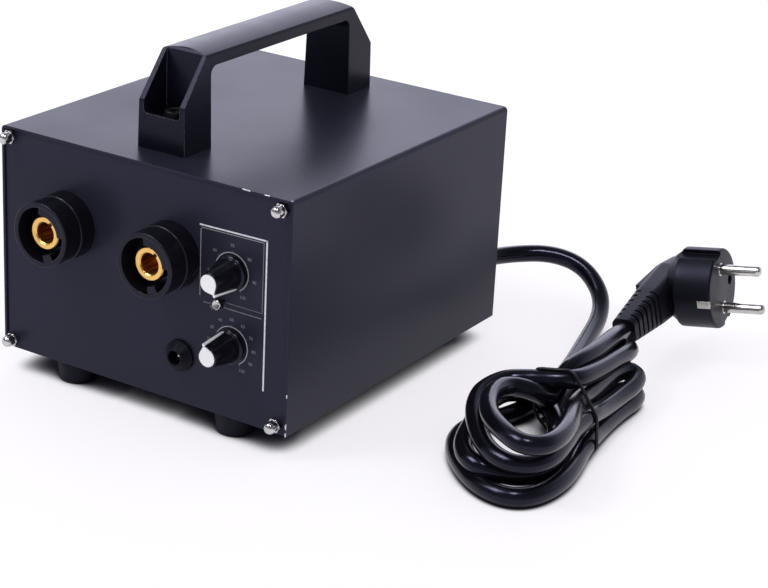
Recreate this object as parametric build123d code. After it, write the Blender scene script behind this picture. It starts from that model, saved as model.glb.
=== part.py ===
from build123d import *
from math import atan2, cos, degrees, pi, radians, sin, sqrt, tan
import os

# Battery spot welder. Millimetres; X runs across the front, Y from front to back, Z up from the floor.
# The origin is on the floor under the middle of the welder, measured without its cord.

# Case of bent sheet steel
case_width = 150.0
case_depth = 167.0
case_height = 101.0
cover_sheet = 1.2
cover_bend = 0.8
panel_sheet = 1.5
panel_inset = 0.8
panel_gap = 0.3
base_gap = 0.2
base_flange = 12.0

# Corner studs, pressed into tabs behind the panels, with cap nuts outside
tab_size = 10.0
tab_sheet = 1.5
stud_d = 3.0
stud_head_d = 4.2
stud_head_h = 1.0
cap_nut_across = 5.5
cap_nut_hex = 2.4
cap_nut_height = 7.0
cap_nut_wall = 1.3
cap_dome_step = 0.2
cap_dome_flat_d = 1.0
corner_clear = 0.3
hole_gap = 0.2
thread_gap = 0.05
thread_spare = 1.0

# Rubber feet
foot_height = 10.0
foot_top_d = 18.2
foot_bottom_d = 16.0
foot_round = 1.5
foot_inset_x = 32.5
foot_inset_y = 10.5
foot_screw_d = 4.0
foot_head_d = 7.5
foot_head_h = 2.4
foot_pocket = 5.0
foot_pocket_gap = 0.4
small_nut_across = 7.0
small_nut_h = 3.2

# Bridge handle
handle_x = -1.5
handle_pitch = 120.0
handle_foot = 18.0
handle_width = 24.2
handle_top_width = 22.3
handle_height = 39.5
handle_crown = 1.6
handle_shoulder = 20.5
handle_slope_run = 16.1
handle_grip = 4.7
handle_corner = 4.0
handle_edge = 1.4
handle_wall = 2.0
pocket_floor = 11.0
pocket_lip = 15.2
pocket_back_wall = 3.0
pocket_corner = 1.5
handle_screw_d = 5.0
handle_head_d = 8.5
handle_head_h = 5.0
handle_key_across = 4.0
handle_key_depth = 2.5
handle_nut_across = 8.0
handle_nut_h = 4.0

# Output sockets
socket_places = {"left": -39.4, "right": 15.4}
socket_height = 64.6
socket_reach = 18.0
socket_d = 28.0
socket_root_d = 28.8
socket_root = 8.3
socket_wall = 2.1
socket_well = 11.5
socket_round = 0.35
collar_d = 18.0
collar_setback = 8.5
contact_d = 14.6
contact_bore_d = 9.0
contact_bore_depth = 12.0
contact_setback = 3.0
contact_seat = 6.0
contact_gap = 0.1
contact_key = (3.2, 1.6, 3.0)
contact_key_angle = 55.0
contact_chamfer = 0.5
shank_d = 10.0
spigot_d = 19.6
insulator_d = 26.0
insulator_h = 4.0
output_nut_across = 17.0
output_nut_h = 5.0
web_arcs = ((5.0, 95.0), (278.0, 302.0))
web_overlap = 0.2
web_setback = 0.4

# Output lugs and leads
lug_d = 18.0
lug_sheet = 2.0
lug_tail = 14.5
lug_barrel = 16.0
lug_wall = 1.2
lead_d = 9.0
lead_bend = 13.0

# Potentiometers and knobs
knob_x = 46.2
knob_heights = {"upper": 64.4, "lower": 32.4}
knob_pointers = {"upper": -56.0, "lower": 108.0}
pot_d = 16.5
pot_depth = 8.5
bush_d = 7.0
bush_reach = 4.6
shaft_d = 6.0
shaft_gap = 0.05
shaft_inside = 6.0
shaft_reach = 13.0
pot_nut_across = 10.0
pot_nut_h = 2.0
knob_gap = 0.6
knob_length = 15.6
knob_skirt_d = 15.2
knob_skirt = 2.4
skirt_round = 0.7
knob_root_d = 13.2
knob_face_d = 8.6
knob_round = 0.3
fin_root = 6.75
fin_face = 5.7
knob_well_d = 12.6
knob_bush_gap = 0.5
cap_rim = 0.55
cap_depth = 1.2
cap_proud = 0.3
pointer_width = 1.1
pointer_depth = 0.7

# Indicator lamp
lamp_x = 40.6
lamp_height = 49.75
lamp_d = 5.0
lamp_flange_d = 5.8
lamp_flange = 1.0
lamp_reach = 5.6
lamp_flat_d = 0.2
lamp_gap = 0.06
lamp_lead_d = 0.6
lamp_lead_pitch = 2.54

# Pedal jack
jack_x = 20.6
jack_height = 21.3
jack_flange_d = 13.6
jack_flange = 1.2
jack_root_d = 12.8
jack_nose_d = 7.6
jack_nose = 4.4
jack_thread_d = 11.0
jack_depth = 12.0
jack_bore_d = 6.3
jack_bore_depth = 10.0
jack_pin_d = 2.1
jack_pin_below = 2.8
jack_pin_round = 0.9
jack_tab = 5.0
jack_nut_across = 14.0
jack_nut_h = 2.2

# Control board behind the knobs; places on it run from its right edge and from the case's floor
board_sheet = 1.6
board_left = 34.5
board_side_gap = 1.4
board_low = 14.0
board_high = 84.0
chip_size = (10.0, 10.0, 1.6)
chip_place = (19.0, 64.0)
capacitor_d = 8.0
capacitor_h = 14.0
capacitor_places = ((29.0, 38.0), (19.0, 38.0))
supply_core = (30.0, 22.0, 20.0)
supply_place = (19.0, 22.0)
fuse_d = 5.2
fuse_length = 20.0
fuse_cap = 5.5
fuse_cap_step = 0.2
fuse_clip = (5.5, 6.4, 4.0)
fuse_place = (19.0, 50.0)

# Welding transformer
strap_side_gap = 4.7
core_setback = 86.0
core_width = 80.0
core_height = 66.0
core_stack = 46.0
core_leg = 26.0
coil_gap = 0.5
coil_corner = 5.0
secondary_height = 15.0
primary_height = 21.0
strap_sheet = 1.5
strap_width = 24.0
strap_foot = 12.0
strap_gap = 0.2
strap_screw_d = 4.0
strap_head_d = 7.0
strap_head_h = 2.6

# Power switch on its heat sink
sink_x = 8.0
sink_back_gap = 4.0
sink_width = 28.0
sink_depth = 14.0
sink_height = 40.0
sink_plate = 5.0
sink_fins = 6
sink_fin = 1.8
sink_screw_d = 4.0
sink_screw_depth = 4.0
sink_screw_pitch = 14.0
triac_size = (15.6, 4.8, 20.0)
triac_height = 14.0
triac_lead_d = 1.2
triac_lead_drop = 8.0
triac_lead_pitch = 5.45

# Mains rocker switch on the rear panel
switch_x = -40.0
switch_height = 30.0
bezel = (15.0, 21.0, 2.0)
bezel_round = 1.2
switch_body = (12.8, 18.8, 14.0)
switch_cut_gap = 0.2
rocker_width = 9.6
rocker_half = 7.5
rocker_end = 3.4
rocker_middle = 2.2
rocker_side_gap = 0.35
rocker_well_gap = 0.4
rocker_tilt = 12.0
rocker_pivot_depth = 0.5
pivot_d = 2.0
pivot_length = 0.9
pivot_end_gap = 0.1
switch_tab = (4.8, 0.8, 8.0)
switch_tab_pitch = 7.0

# Vents in the rear panel
vent_width = 3.0
vent_height = 34.0
vent_pitch = 7.0
vent_count = 8
vent_x = -2.0
vent_z = 62.0

# Cord grip on the rear panel
cord_d = 8.2
cord_exit_inset = 22.0
cord_exit_height = 16.0
grip_flange_d = 16.0
grip_flange = 2.5
grip_root_d = 13.0
grip_tip_d = 10.6
grip_length = 14.0
grip_thread_d = 12.0
grip_depth = 9.0
grip_nut_across = 15.0
grip_nut_h = 4.0

# Supply cord: the route from the grip round to its hank, and from the hank to the plug
cord_route = [
    (53.0, 112.2, 26.0),
    (62.5, 129.6, 27.1),
    (76.9, 139.9, 27.6),
    (91.0, 143.7, 22.2),
    (103.6, 139.6, 14.1),
    (112.1, 128.4, 7.4),
    (117.3, 105.5, 4.8),
    (125.5, 73.5, 4.3),
    (130.5, 41.5, 4.3),
    (137.5, 18.0, 4.8),
]
tail_route = [
    (159.0, 19.0, 31.0),
    (154.0, 34.0, 29.5),
    (151.8, 49.0, 28.9),
    (148.8, 65.7, 27.4),
]
arc_share = 0.45

# Hank: a swung oval of loops, the tied neck and the narrow far loops
hank_near = (151.0, -23.5)
hank_near_half = (28.2, 39.7)
hank_near_height = 30.5
hank_top = (156.0, -24.7)
hank_top_half = (21.5, 31.5)
hank_swing = 30.0
hank_hole = (156.5, -25.0)
hank_hole_half = (8.0, 14.0)
hank_neck_x = (134.5, 172.5)
hank_neck_y = (6.0, 24.0)
hank_neck_z = (1.6, 34.9)
hank_neck_round = 12.0
hank_far_x = (135.5, 168.0)
hank_far_end = 72.2
hank_far_height = 22.0
hank_round = 6.0
tie_y = 15.0
tie_wire = 1.2
tie_width = 2.4

# Plug: round head, pins along its axis, and a ribbed boot that leaves it sideways
plug_face = (169.4, 132.0, 34.5)
plug_axis = (0.9824, 0.0963, 0.1599)
plug_up = (-0.1456, -0.1402, 0.9794)
plug_d = 36.6
plug_depth = 18.0
plug_round = 1.2
plug_back = 4.5
plug_back_d = 28.0
plug_groove = (2.4, 7.4, 20.0)
plug_groove_turn = 8.0
pin_d = 4.8
pin_length = 19.0
pin_pitch = 19.0
pin_stem = 8.0
pin_stem_d = 6.0
pin_round = 1.9
clip_size = (3.4, 1.0, 6.0)
earth_hole_d = 5.0
earth_hole_depth = 14.0
earth_hole_offset = 10.0
boot_lean = 6.0
boot_axis_depth = 24.4
boot_root = -10.0
boot_waist = 22.0
boot_end = 49.0
boot_root_size = (20.0, 11.0)
boot_middle_size = (22.0, 13.6)
boot_waist_size = (18.4, 13.2)
boot_end_size = (11.8, 11.2)
boot_corner = 3.5
pad_size = (17.0, 22.0, 1.2)
pad_start = -2.0
pad_round = 0.5
rib_count = 6
rib_slot = 1.4
rib_depth = 1.0
rib_strip = 4.4

# Places that follow from the sizes above
front_reach = socket_reach - panel_inset
back_reach = cap_nut_height - panel_inset
case_front = front_reach - (front_reach + case_depth + back_reach) / 2
case_back = case_front + case_depth
front_face = case_front + panel_inset
back_face = case_back - panel_inset
inner_front = front_face + panel_sheet
inner_back = back_face - panel_sheet
case_floor = foot_height
case_top = case_floor + case_height
inner_floor = case_floor + cover_sheet
inner_side = case_width / 2 - cover_sheet
base_side = inner_side - base_gap
cap_nut_corner = cap_nut_across / sqrt(3)
stud_inset_x = cover_sheet + max(cap_nut_corner, cover_sheet + base_gap + stud_head_d / 2) + corner_clear
stud_inset_z = cover_sheet + max(cap_nut_across, stud_head_d) / 2 + corner_clear
stud_x = case_width / 2 - stud_inset_x
stud_heights = (case_floor + stud_inset_z, case_top - stud_inset_z)
handle_length = handle_pitch + handle_foot
board_face = inner_front + pot_depth
core_y = case_front + core_setback
base_inside = base_side - cover_sheet
board_right = base_inside - board_side_gap
strap_half = core_width / 2 + strap_gap
strap_end = strap_half + strap_sheet + strap_foot
core_x = -base_inside + strap_side_gap + strap_end
core_floor = inner_floor
core_side_leg = core_leg / 2
window_height = core_height - core_leg
coil_reach = (core_width - core_leg) / 2 - core_side_leg - 2 * coil_gap
coil_depth = core_stack / 2 + coil_gap + coil_reach
secondary_low = core_floor + core_side_leg + coil_gap
sink_y = inner_back - sink_back_gap - sink_depth / 2
cord_exit_x = case_width / 2 - cord_exit_inset

os.makedirs("parts", exist_ok=True)


def save(name, *shapes):
    """Write one node: all the solids of the shapes given."""
    solids = [solid for shape in shapes for solid in shape.solids()]
    export_step(Compound(solids), f"parts/{name}.step")


def block(low, high):
    """A box between two opposite corners."""
    low, high = Vector(*low), Vector(*high)
    size = high - low
    return Pos(low + size * 0.5) * Box(size.X, size.Y, size.Z)


def rod(diameter, low, high):
    """A cylinder about the local Z axis between two heights."""
    return Pos(0, 0, (low + high) / 2) * Cylinder(diameter / 2, high - low)


def cone(low_d, high_d, low, high):
    """A frustum about the local Z axis between two heights."""
    return Pos(0, 0, (low + high) / 2) * Cone(low_d / 2, high_d / 2, high - low)


def hexagon(across, low, high):
    """A hexagonal prism about the local Z axis, with flats above and below."""
    return extrude(Pos(0, 0, low) * RegularPolygon(across / 2, 6, major_radius=False), amount=high - low)


def nut(across, bore_d, low, high):
    """A plain hexagonal nut about the local Z axis."""
    return hexagon(across, low, high) - rod(bore_d + 2 * thread_gap, low, high)


def on_front(x, height):
    """A frame on the front panel's face: x right, y up, z out; height is above the case's floor."""
    return Plane((x, front_face, case_floor + height), x_dir=(1, 0, 0), z_dir=(0, -1, 0))


def on_back(x, height):
    """A frame on the rear panel's face: y up, z out of the back; height is above the case's floor."""
    return Plane((x, back_face, case_floor + height), x_dir=(-1, 0, 0), z_dir=(0, 1, 0))


def above(x, y, z):
    """An upright frame at a point."""
    return Plane((x, y, z))


# Corner studs and cap nuts
corners = [on_front(x, z - case_floor) for x in (-stud_x, stud_x) for z in stud_heights]
corners += [on_back(x, z - case_floor) for x in (-stud_x, stud_x) for z in stud_heights]
stud_tip = cap_nut_height - cap_nut_wall
stud_seat = -panel_sheet - tab_sheet
stud = rod(stud_d, stud_seat, stud_tip) + rod(stud_head_d, stud_seat - stud_head_h, stud_seat)
dome_d = cap_nut_across - 2 * cap_dome_step
dome = rod(dome_d, cap_nut_hex, cap_nut_height)
dome = fillet(dome.edges().group_by(Axis.Z)[-1], (dome_d - cap_dome_flat_d) / 2)
cap_nut = hexagon(cap_nut_across, 0, cap_nut_hex) + dome
cap_nut -= rod(stud_d + 2 * thread_gap, 0, stud_tip + thread_gap)
save("corner_studs", *[corner * stud for corner in corners])
save("cap_nuts", *[corner * cap_nut for corner in corners])
stud_hole = rod(stud_d + 2 * hole_gap, -panel_sheet, 0)
stud_bore = rod(stud_d, stud_seat, -panel_sheet)


# Cover: top and sides bent from one sheet, with a welded tab at each upper corner
def corner_tab(side, end, low, high, wall):
    """A welded tab behind a panel, from a side wall inwards, with its face against the panel."""
    back = inner_front if end < 0 else inner_back
    far = back - end * tab_sheet
    return block(
        (min(side * wall, side * (wall - tab_size)), min(back, far), low),
        (max(side * wall, side * (wall - tab_size)), max(back, far), high),
    )


cover_outline = Pos(0, case_floor + case_height / 2) * Rectangle(case_width, case_height)
cover_outline = fillet(cover_outline.vertices().group_by(Axis.Y)[-1], cover_bend + cover_sheet)
inside_height = case_height - cover_sheet
cover_inside = Pos(0, case_floor + inside_height / 2) * Rectangle(2 * inner_side, inside_height)
cover_inside = fillet(cover_inside.vertices().group_by(Axis.Y)[-1], cover_bend)
end_plane = Plane((0, case_front, 0), x_dir=(1, 0, 0), z_dir=(0, -1, 0))
cover = extrude(end_plane * (cover_outline - cover_inside), amount=-case_depth)
for side in (-1, 1):
    for end in (-1, 1):
        tab_top = case_top - cover_sheet
        cover += corner_tab(side, end, tab_top - tab_size, tab_top, inner_side)
handle_ends = [(case_front + case_back) / 2 + end * handle_pitch / 2 for end in (-1, 1)]
for y in handle_ends:
    cover -= above(handle_x, y, case_top) * rod(handle_screw_d + 2 * hole_gap, -cover_sheet, 0)
for corner in corners:
    cover -= corner * stud_bore
save("case_cover", cover)

# Base: a plate with its long sides turned up and a tab at each lower corner
base = block((-base_side, inner_front, case_floor), (base_side, inner_back, inner_floor))
for side in (-1, 1):
    wall_x = sorted((side * base_side, side * (base_side - cover_sheet)))
    base += block((wall_x[0], inner_front, case_floor), (wall_x[1], inner_back, case_floor + base_flange))
    for end in (-1, 1):
        base += corner_tab(side, end, inner_floor, inner_floor + tab_size, base_side)
for corner in corners:
    base -= corner * stud_bore
foot_places = [
    (side * (case_width / 2 - foot_inset_x), y)
    for side in (-1, 1)
    for y in (case_front + foot_inset_y, case_back - foot_inset_y)
]
strap_places = [(core_x + side * (strap_end - strap_foot / 2), core_y) for side in (-1, 1)]
sink_places = [(sink_x + side * sink_screw_pitch / 2, sink_y) for side in (-1, 1)]
for x, y in foot_places:
    base -= above(x, y, case_floor) * rod(foot_screw_d + 2 * hole_gap, 0, cover_sheet)
for x, y in strap_places:
    base -= above(x, y, case_floor) * rod(strap_screw_d + 2 * hole_gap, 0, cover_sheet)
for x, y in sink_places:
    base -= above(x, y, case_floor) * rod(sink_screw_d + 2 * hole_gap, 0, cover_sheet)
save("base_plate", base)

# Feet with their screws from below and nuts inside the base
foot = cone(foot_bottom_d, foot_top_d, 0, foot_height)
foot = fillet(foot.edges().group_by(Axis.Z)[0], foot_round)
foot -= rod(foot_head_d + 2 * foot_pocket_gap, 0, foot_pocket)
foot -= rod(foot_screw_d + 2 * hole_gap, foot_pocket, foot_height)
foot_screw_top = inner_floor + small_nut_h + thread_spare
foot_screw = rod(foot_head_d, foot_pocket - foot_head_h, foot_pocket)
foot_screw += rod(foot_screw_d, foot_pocket, foot_screw_top)
foot_nut = nut(small_nut_across, foot_screw_d, inner_floor, inner_floor + small_nut_h)
save("rubber_feet", *[above(x, y, 0) * foot for x, y in foot_places])
save("foot_screws", *[above(x, y, 0) * foot_screw for x, y in foot_places])
small_nuts = [above(x, y, 0) * foot_nut for x, y in foot_places]

# Handle: the side outline carried across, cut to the drafted and crowned end outline, with open screw pockets
half = handle_length / 2
grip_top = handle_height + handle_crown
grip_underside = handle_height - handle_grip
side_points = [
    (-half, 0),
    (-half, handle_shoulder),
    (-half + handle_slope_run, grip_top),
    (half - handle_slope_run, grip_top),
    (half, handle_shoulder),
    (half, 0),
    (half - handle_foot, 0),
    (half - handle_foot, grip_underside),
    (-half + handle_foot, grip_underside),
    (-half + handle_foot, 0),
]
side_outline = make_face(Polyline(*side_points, close=True))
outline_rounds = ((grip_underside, handle_corner), (handle_shoulder, handle_edge), (grip_top, handle_edge))
for level, radius in outline_rounds:
    side_outline = fillet(side_outline.vertices().filter_by_position(Axis.Y, level, level), radius)
side_plane = Plane((0, 0, 0), x_dir=(0, 1, 0), z_dir=(1, 0, 0))
handle = extrude(side_plane * side_outline, amount=handle_width / 2, both=True)
crown_right = (handle_top_width / 2, handle_height)
crown_left = (-handle_top_width / 2, handle_height)
crown_line = ThreePointArc(crown_right, (0, grip_top), crown_left)
draft_line = Polyline(crown_left, (-handle_width / 2, 0), (handle_width / 2, 0), crown_right)
end_outline = make_face([crown_line, draft_line])
end_outline = fillet(end_outline.vertices().group_by(Axis.Y)[-1], handle_edge)
handle &= extrude(Plane.XZ * end_outline, amount=half, both=True)
pocket_half = handle_top_width / 2 - handle_wall
pocket_back = handle_foot - pocket_back_wall
for end in (-1, 1):
    mouth = sorted((end * handle_length, end * (half - pocket_back)))
    well = sorted((end * (half - handle_wall), end * (half - pocket_back)))
    mouth_cut = block((-pocket_half, mouth[0], pocket_lip), (pocket_half, mouth[1], 2 * grip_top))
    handle -= fillet(mouth_cut.edges().filter_by(Axis.Y).group_by(Axis.Z)[0], pocket_corner)
    well_cut = block((-pocket_half, well[0], pocket_floor), (pocket_half, well[1], grip_top))
    handle -= fillet(well_cut.edges().filter_by(Axis.Z), handle_edge)
handle_y = (case_front + case_back) / 2
for y in handle_ends:
    handle -= above(0, y - handle_y, 0) * rod(handle_screw_d + 2 * hole_gap, 0, pocket_floor)
save("carry_handle", above(handle_x, handle_y, case_top) * handle)
handle_nut_seat = -cover_sheet
handle_screw = rod(handle_head_d, pocket_floor, pocket_floor + handle_head_h)
head_top = pocket_floor + handle_head_h
handle_screw -= hexagon(handle_key_across, head_top - handle_key_depth, head_top)
handle_screw += rod(handle_screw_d, handle_nut_seat - handle_nut_h - thread_spare, pocket_floor)
handle_nut = nut(handle_nut_across, handle_screw_d, handle_nut_seat - handle_nut_h, handle_nut_seat)
save("handle_screws", *[above(handle_x, y, case_top) * handle_screw for y in handle_ends])
save("handle_nuts", *[above(handle_x, y, case_top) * handle_nut for y in handle_ends])


# Output sockets: a moulded shroud outside, a brass contact, an insulating ring and nuts inside
def sector(inner_d, outer_d, start, stop, low, high):
    """A ring's slice between two angles, about the local Z axis."""
    corners = [(outer_d * cos(radians(angle)), outer_d * sin(radians(angle))) for angle in (start, stop)]
    wedge = Polyline((0, 0), *corners, close=True)
    ring = rod(outer_d, low, high) - rod(inner_d, low, high)
    return ring & extrude(Pos(0, 0, low) * make_face(wedge), amount=high - low)


well_d = socket_d - 2 * socket_wall
well_floor = socket_reach - socket_well
contact_face = socket_reach - contact_setback
collar_face = socket_reach - collar_setback
pocket_d = contact_d + 2 * contact_gap
shroud_root = rod(socket_root_d, 0, socket_root)
shroud_root = fillet(shroud_root.edges().group_by(Axis.Z)[-1], socket_round)
shroud = rod(socket_d, 0, socket_reach)
shroud = fillet(shroud.edges().group_by(Axis.Z)[-1], socket_round)
shroud += shroud_root
shroud += rod(spigot_d, -panel_sheet, 0)
shroud -= rod(well_d, collar_face, socket_reach)
shroud -= rod(well_d, well_floor, collar_face) - rod(collar_d, well_floor, collar_face)
for start, stop in web_arcs:
    web_inner = collar_d - 2 * web_overlap
    web_outer = well_d + 2 * web_overlap
    shroud += sector(web_inner, web_outer, start, stop, well_floor, socket_reach - web_setback)
shroud -= rod(pocket_d, contact_seat, socket_reach)
shroud -= rod(shank_d + 2 * contact_gap, -panel_sheet, contact_seat)
insulator_back = -panel_sheet - insulator_h
lug_front = insulator_back - output_nut_h
lug_back = lug_front - lug_sheet
shank_end = lug_back - output_nut_h - thread_spare
contact = rod(contact_d, contact_seat, contact_face) + rod(shank_d, shank_end, contact_seat)
contact -= rod(contact_bore_d, contact_face - contact_bore_depth, contact_face)
contact = chamfer(contact.edges().filter_by(GeomType.CIRCLE).group_by(Axis.Z)[-1], contact_chamfer)
contact -= Pos(contact_bore_d / 2, 0, contact_face - contact_key[2] / 2) * Box(*contact_key)
insulator = rod(insulator_d, insulator_back, -panel_sheet)
insulator -= rod(shank_d + 2 * contact_gap, insulator_back, -panel_sheet)
output_nut = nut(output_nut_across, shank_d, lug_front, insulator_back)
lock_nut = nut(output_nut_across, shank_d, lug_back - output_nut_h, lug_back)
lug_middle = (lug_front + lug_back) / 2
coil_front = core_y - coil_depth
coil_half = core_leg / 2 + coil_gap + coil_reach - coil_corner - lead_d / 2
lead_height = secondary_low + secondary_height / 2
lead_drop = case_floor + socket_height - lead_height
lead_ends = {name: core_x + (-1 if x < core_x else 1) * coil_half for name, x in socket_places.items()}
lug_turns = {name: atan2(lead_ends[name] - x, lead_drop) for name, x in socket_places.items()}
barrel_d = lead_d + 2 * lug_wall
lug = rod(lug_d, lug_back, lug_front)
lug += block((-lug_d / 4, -lug_tail - lug_wall, lug_back), (lug_d / 4, 0, lug_front))
barrel_frame = Plane((0, -lug_tail, lug_middle), x_dir=(1, 0, 0), z_dir=(0, -1, 0))
lug += barrel_frame * rod(barrel_d, 0, lug_barrel)
lug -= rod(shank_d + 2 * thread_gap, lug_back, lug_front)
lug -= barrel_frame * rod(lead_d + 2 * thread_gap, lug_wall, lug_barrel)
sockets = {name: on_front(x, socket_height) for name, x in socket_places.items()}
for name, frame in sockets.items():
    save(f"output_shroud_{name}", frame * shroud)
    save(f"output_contact_{name}", frame * (Rot(0, 0, contact_key_angle) * contact))
save("output_insulators", *[frame * insulator for frame in sockets.values()])
save("output_nuts", *[frame * piece for frame in sockets.values() for piece in (output_nut, lock_nut)])
lug_rotations = {name: Rot(0, 0, degrees(turn)) for name, turn in lug_turns.items()}
save("output_lugs", *[frame * (lug_rotations[name] * lug) for name, frame in sockets.items()])

# Potentiometers and knobs: the shaft and the knob turn together in the threaded bush
pot_back = -panel_sheet - pot_depth
pot = rod(pot_d, pot_back, -panel_sheet) + rod(bush_d, -panel_sheet, bush_reach)
pot -= rod(shaft_d + 2 * shaft_gap, -panel_sheet - shaft_inside - shaft_gap, bush_reach)
shaft = rod(shaft_d, -panel_sheet - shaft_inside, shaft_reach)
pot_nut = nut(pot_nut_across, bush_d, 0, pot_nut_h)
knob_face = knob_gap + knob_length
skirt_top = knob_gap + knob_skirt
skirt = rod(knob_skirt_d, knob_gap, skirt_top)
skirt = fillet(skirt.edges().group_by(Axis.Z)[-1], skirt_round)
knob = skirt + cone(knob_root_d, knob_face_d, skirt_top, knob_face)
knob = fillet(knob.edges().filter_by(GeomType.CIRCLE).group_by(Axis.Z)[-1], knob_round)


def tangent_point(round_d, tip):
    """Where a line from a tip on local X touches a circle about the origin."""
    touch_x = (round_d / 2) ** 2 / tip
    return touch_x, sqrt((round_d / 2) ** 2 - touch_x**2)


def fin_section(round_d, tip, height):
    """The knob's pointed side at a height: from the axis to the tip, its flanks touching the round body."""
    touch_x, touch_y = tangent_point(round_d, tip)
    points = [(0, -touch_y), (touch_x, -touch_y), (tip, 0), (touch_x, touch_y), (0, touch_y)]
    return Pos(0, 0, height) * make_face(Polyline(*points, close=True))


fin_low = fin_section(knob_root_d, fin_root, skirt_top)
fin_high = fin_section(knob_face_d, fin_face, knob_face)
knob += loft([fin_low, fin_high], ruled=True)
bush_well = bush_reach + knob_bush_gap
knob -= rod(knob_well_d, knob_gap, pot_nut_h + knob_bush_gap)
knob -= rod(bush_d + 2 * knob_bush_gap, knob_gap, bush_well)
knob -= rod(shaft_d, knob_gap, shaft_reach)
cap_tip = fin_face - cap_rim
cap_round = knob_face_d / 2 - cap_rim
cap_x, cap_y = tangent_point(2 * cap_round, cap_tip)
tear = make_face(
    [
        ThreePointArc((cap_x, cap_y), (-cap_round, 0), (cap_x, -cap_y)),
        Polyline((cap_x, -cap_y), (cap_tip, 0), (cap_x, cap_y)),
    ]
)
cap = extrude(Pos(0, 0, knob_face - cap_depth) * tear, amount=cap_depth + cap_proud)
rib_points = [
    (fin_root - pointer_depth, skirt_top),
    (fin_root + cap_proud, skirt_top),
    (fin_face + cap_proud, knob_face + cap_proud),
    (fin_face - pointer_depth, knob_face + cap_proud),
]
rib_plane = Plane((0, 0, 0), x_dir=(1, 0, 0), z_dir=(0, -1, 0))
rib = extrude(rib_plane * make_face(Polyline(*rib_points, close=True)), amount=pointer_width / 2, both=True)
cap += rib
knob -= cap
pots = {name: on_front(knob_x, height) for name, height in knob_heights.items()}
for name, frame in pots.items():
    pointer = Rot(0, 0, knob_pointers[name])
    save(f"pot_body_{name}", frame * pot)
    save(f"pot_shaft_{name}", frame * shaft)
    save(f"knob_{name}", frame * (pointer * knob))
    save(f"knob_cap_{name}", frame * (pointer * cap))
save("pot_nuts", *[frame * pot_nut for frame in pots.values()])

# Indicator lamp with its two leads to the board
lamp_frame = on_front(lamp_x, lamp_height)
lamp_back = -panel_sheet - lamp_flange
lamp = rod(lamp_d, -panel_sheet, lamp_reach) + rod(lamp_flange_d, lamp_back, -panel_sheet)
lamp = fillet(lamp.edges().group_by(Axis.Z)[-1], (lamp_d - lamp_flat_d) / 2)
lamp_lead = rod(lamp_lead_d, pot_back, lamp_back)
lamp_leads = [Pos(side * lamp_lead_pitch / 2, 0, 0) * lamp_lead for side in (-1, 1)]
save("indicator_lamp", lamp_frame * lamp)
save("lamp_leads", *[lamp_frame * piece for piece in lamp_leads])

# Pedal jack: flanged and threaded body, centre pin and nut
jack_frame = on_front(jack_x, jack_height)
jack = rod(jack_flange_d, 0, jack_flange) + rod(jack_thread_d, -jack_depth, 0)
jack += cone(jack_root_d, jack_nose_d, jack_flange, jack_nose)
jack -= rod(jack_bore_d, jack_nose - jack_bore_depth, jack_nose)
jack -= rod(jack_pin_d, -jack_depth, jack_nose)
jack_pin = rod(jack_pin_d, -jack_depth - jack_tab, jack_nose - jack_pin_below)
jack_pin = fillet(jack_pin.edges().group_by(Axis.Z)[-1], jack_pin_round)
save("pedal_jack_body", jack_frame * jack)
save("pedal_jack_pin", jack_frame * jack_pin)
jack_nut = nut(jack_nut_across, jack_thread_d, -panel_sheet - jack_nut_h, -panel_sheet)
save("pedal_jack_nut", jack_frame * jack_nut)

# Front panel, with a hole for each thing that passes through it
front_panel = block(
    (-inner_side + panel_gap, front_face, case_floor),
    (inner_side - panel_gap, inner_front, case_top - cover_sheet - panel_gap),
)
for corner in corners:
    front_panel -= corner * stud_hole
for frame in sockets.values():
    front_panel -= frame * rod(spigot_d + 2 * contact_gap, -panel_sheet, 0)
for frame in pots.values():
    front_panel -= frame * rod(bush_d + 2 * thread_gap, -panel_sheet, 0)
front_panel -= lamp_frame * rod(lamp_d + 2 * lamp_gap, -panel_sheet, 0)
front_panel -= jack_frame * rod(jack_thread_d + 2 * thread_gap, -panel_sheet, 0)
save("front_panel", front_panel)

# Control board, standing behind the knobs, with its chip, capacitors, fuse and small supply transformer
board_back = board_face + board_sheet
board = block(
    (board_left, board_face, case_floor + board_low),
    (board_right, board_back, case_floor + board_high),
)
save("control_board", board)


def on_board(place):
    """The frame of a place on the board's back: z runs to the rear."""
    origin = (board_right - place[0], board_back, case_floor + place[1])
    return Plane(origin, x_dir=(-1, 0, 0), z_dir=(0, 1, 0))


def box_on(size):
    """A box standing on the local XY plane."""
    return Pos(0, 0, size[2] / 2) * Box(*size)


save("control_chip", on_board(chip_place) * box_on(chip_size))
save("board_capacitors", *[on_board(place) * rod(capacitor_d, 0, capacitor_h) for place in capacitor_places])
save("supply_transformer", on_board(supply_place) * box_on(supply_core))
fuse_frame = on_board(fuse_place)
fuse_axis = Plane((0, 0, fuse_clip[2]), x_dir=(0, 0, 1), z_dir=(1, 0, 0))
fuse_tube = fuse_axis * rod(fuse_d, -fuse_length / 2 + fuse_cap, fuse_length / 2 - fuse_cap)
fuse_ends = []
for end in (-1, 1):
    centre = end * (fuse_length - fuse_cap) / 2
    clip = Pos(centre, 0, 0) * box_on(fuse_clip)
    ferrule = fuse_axis * rod(fuse_d + 2 * fuse_cap_step, centre - fuse_cap / 2, centre + fuse_cap / 2)
    fuse_ends.append(clip + ferrule)
save("fuse_tube", fuse_frame * fuse_tube)
save("fuse_clips", *[fuse_frame * piece for piece in fuse_ends])

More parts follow.
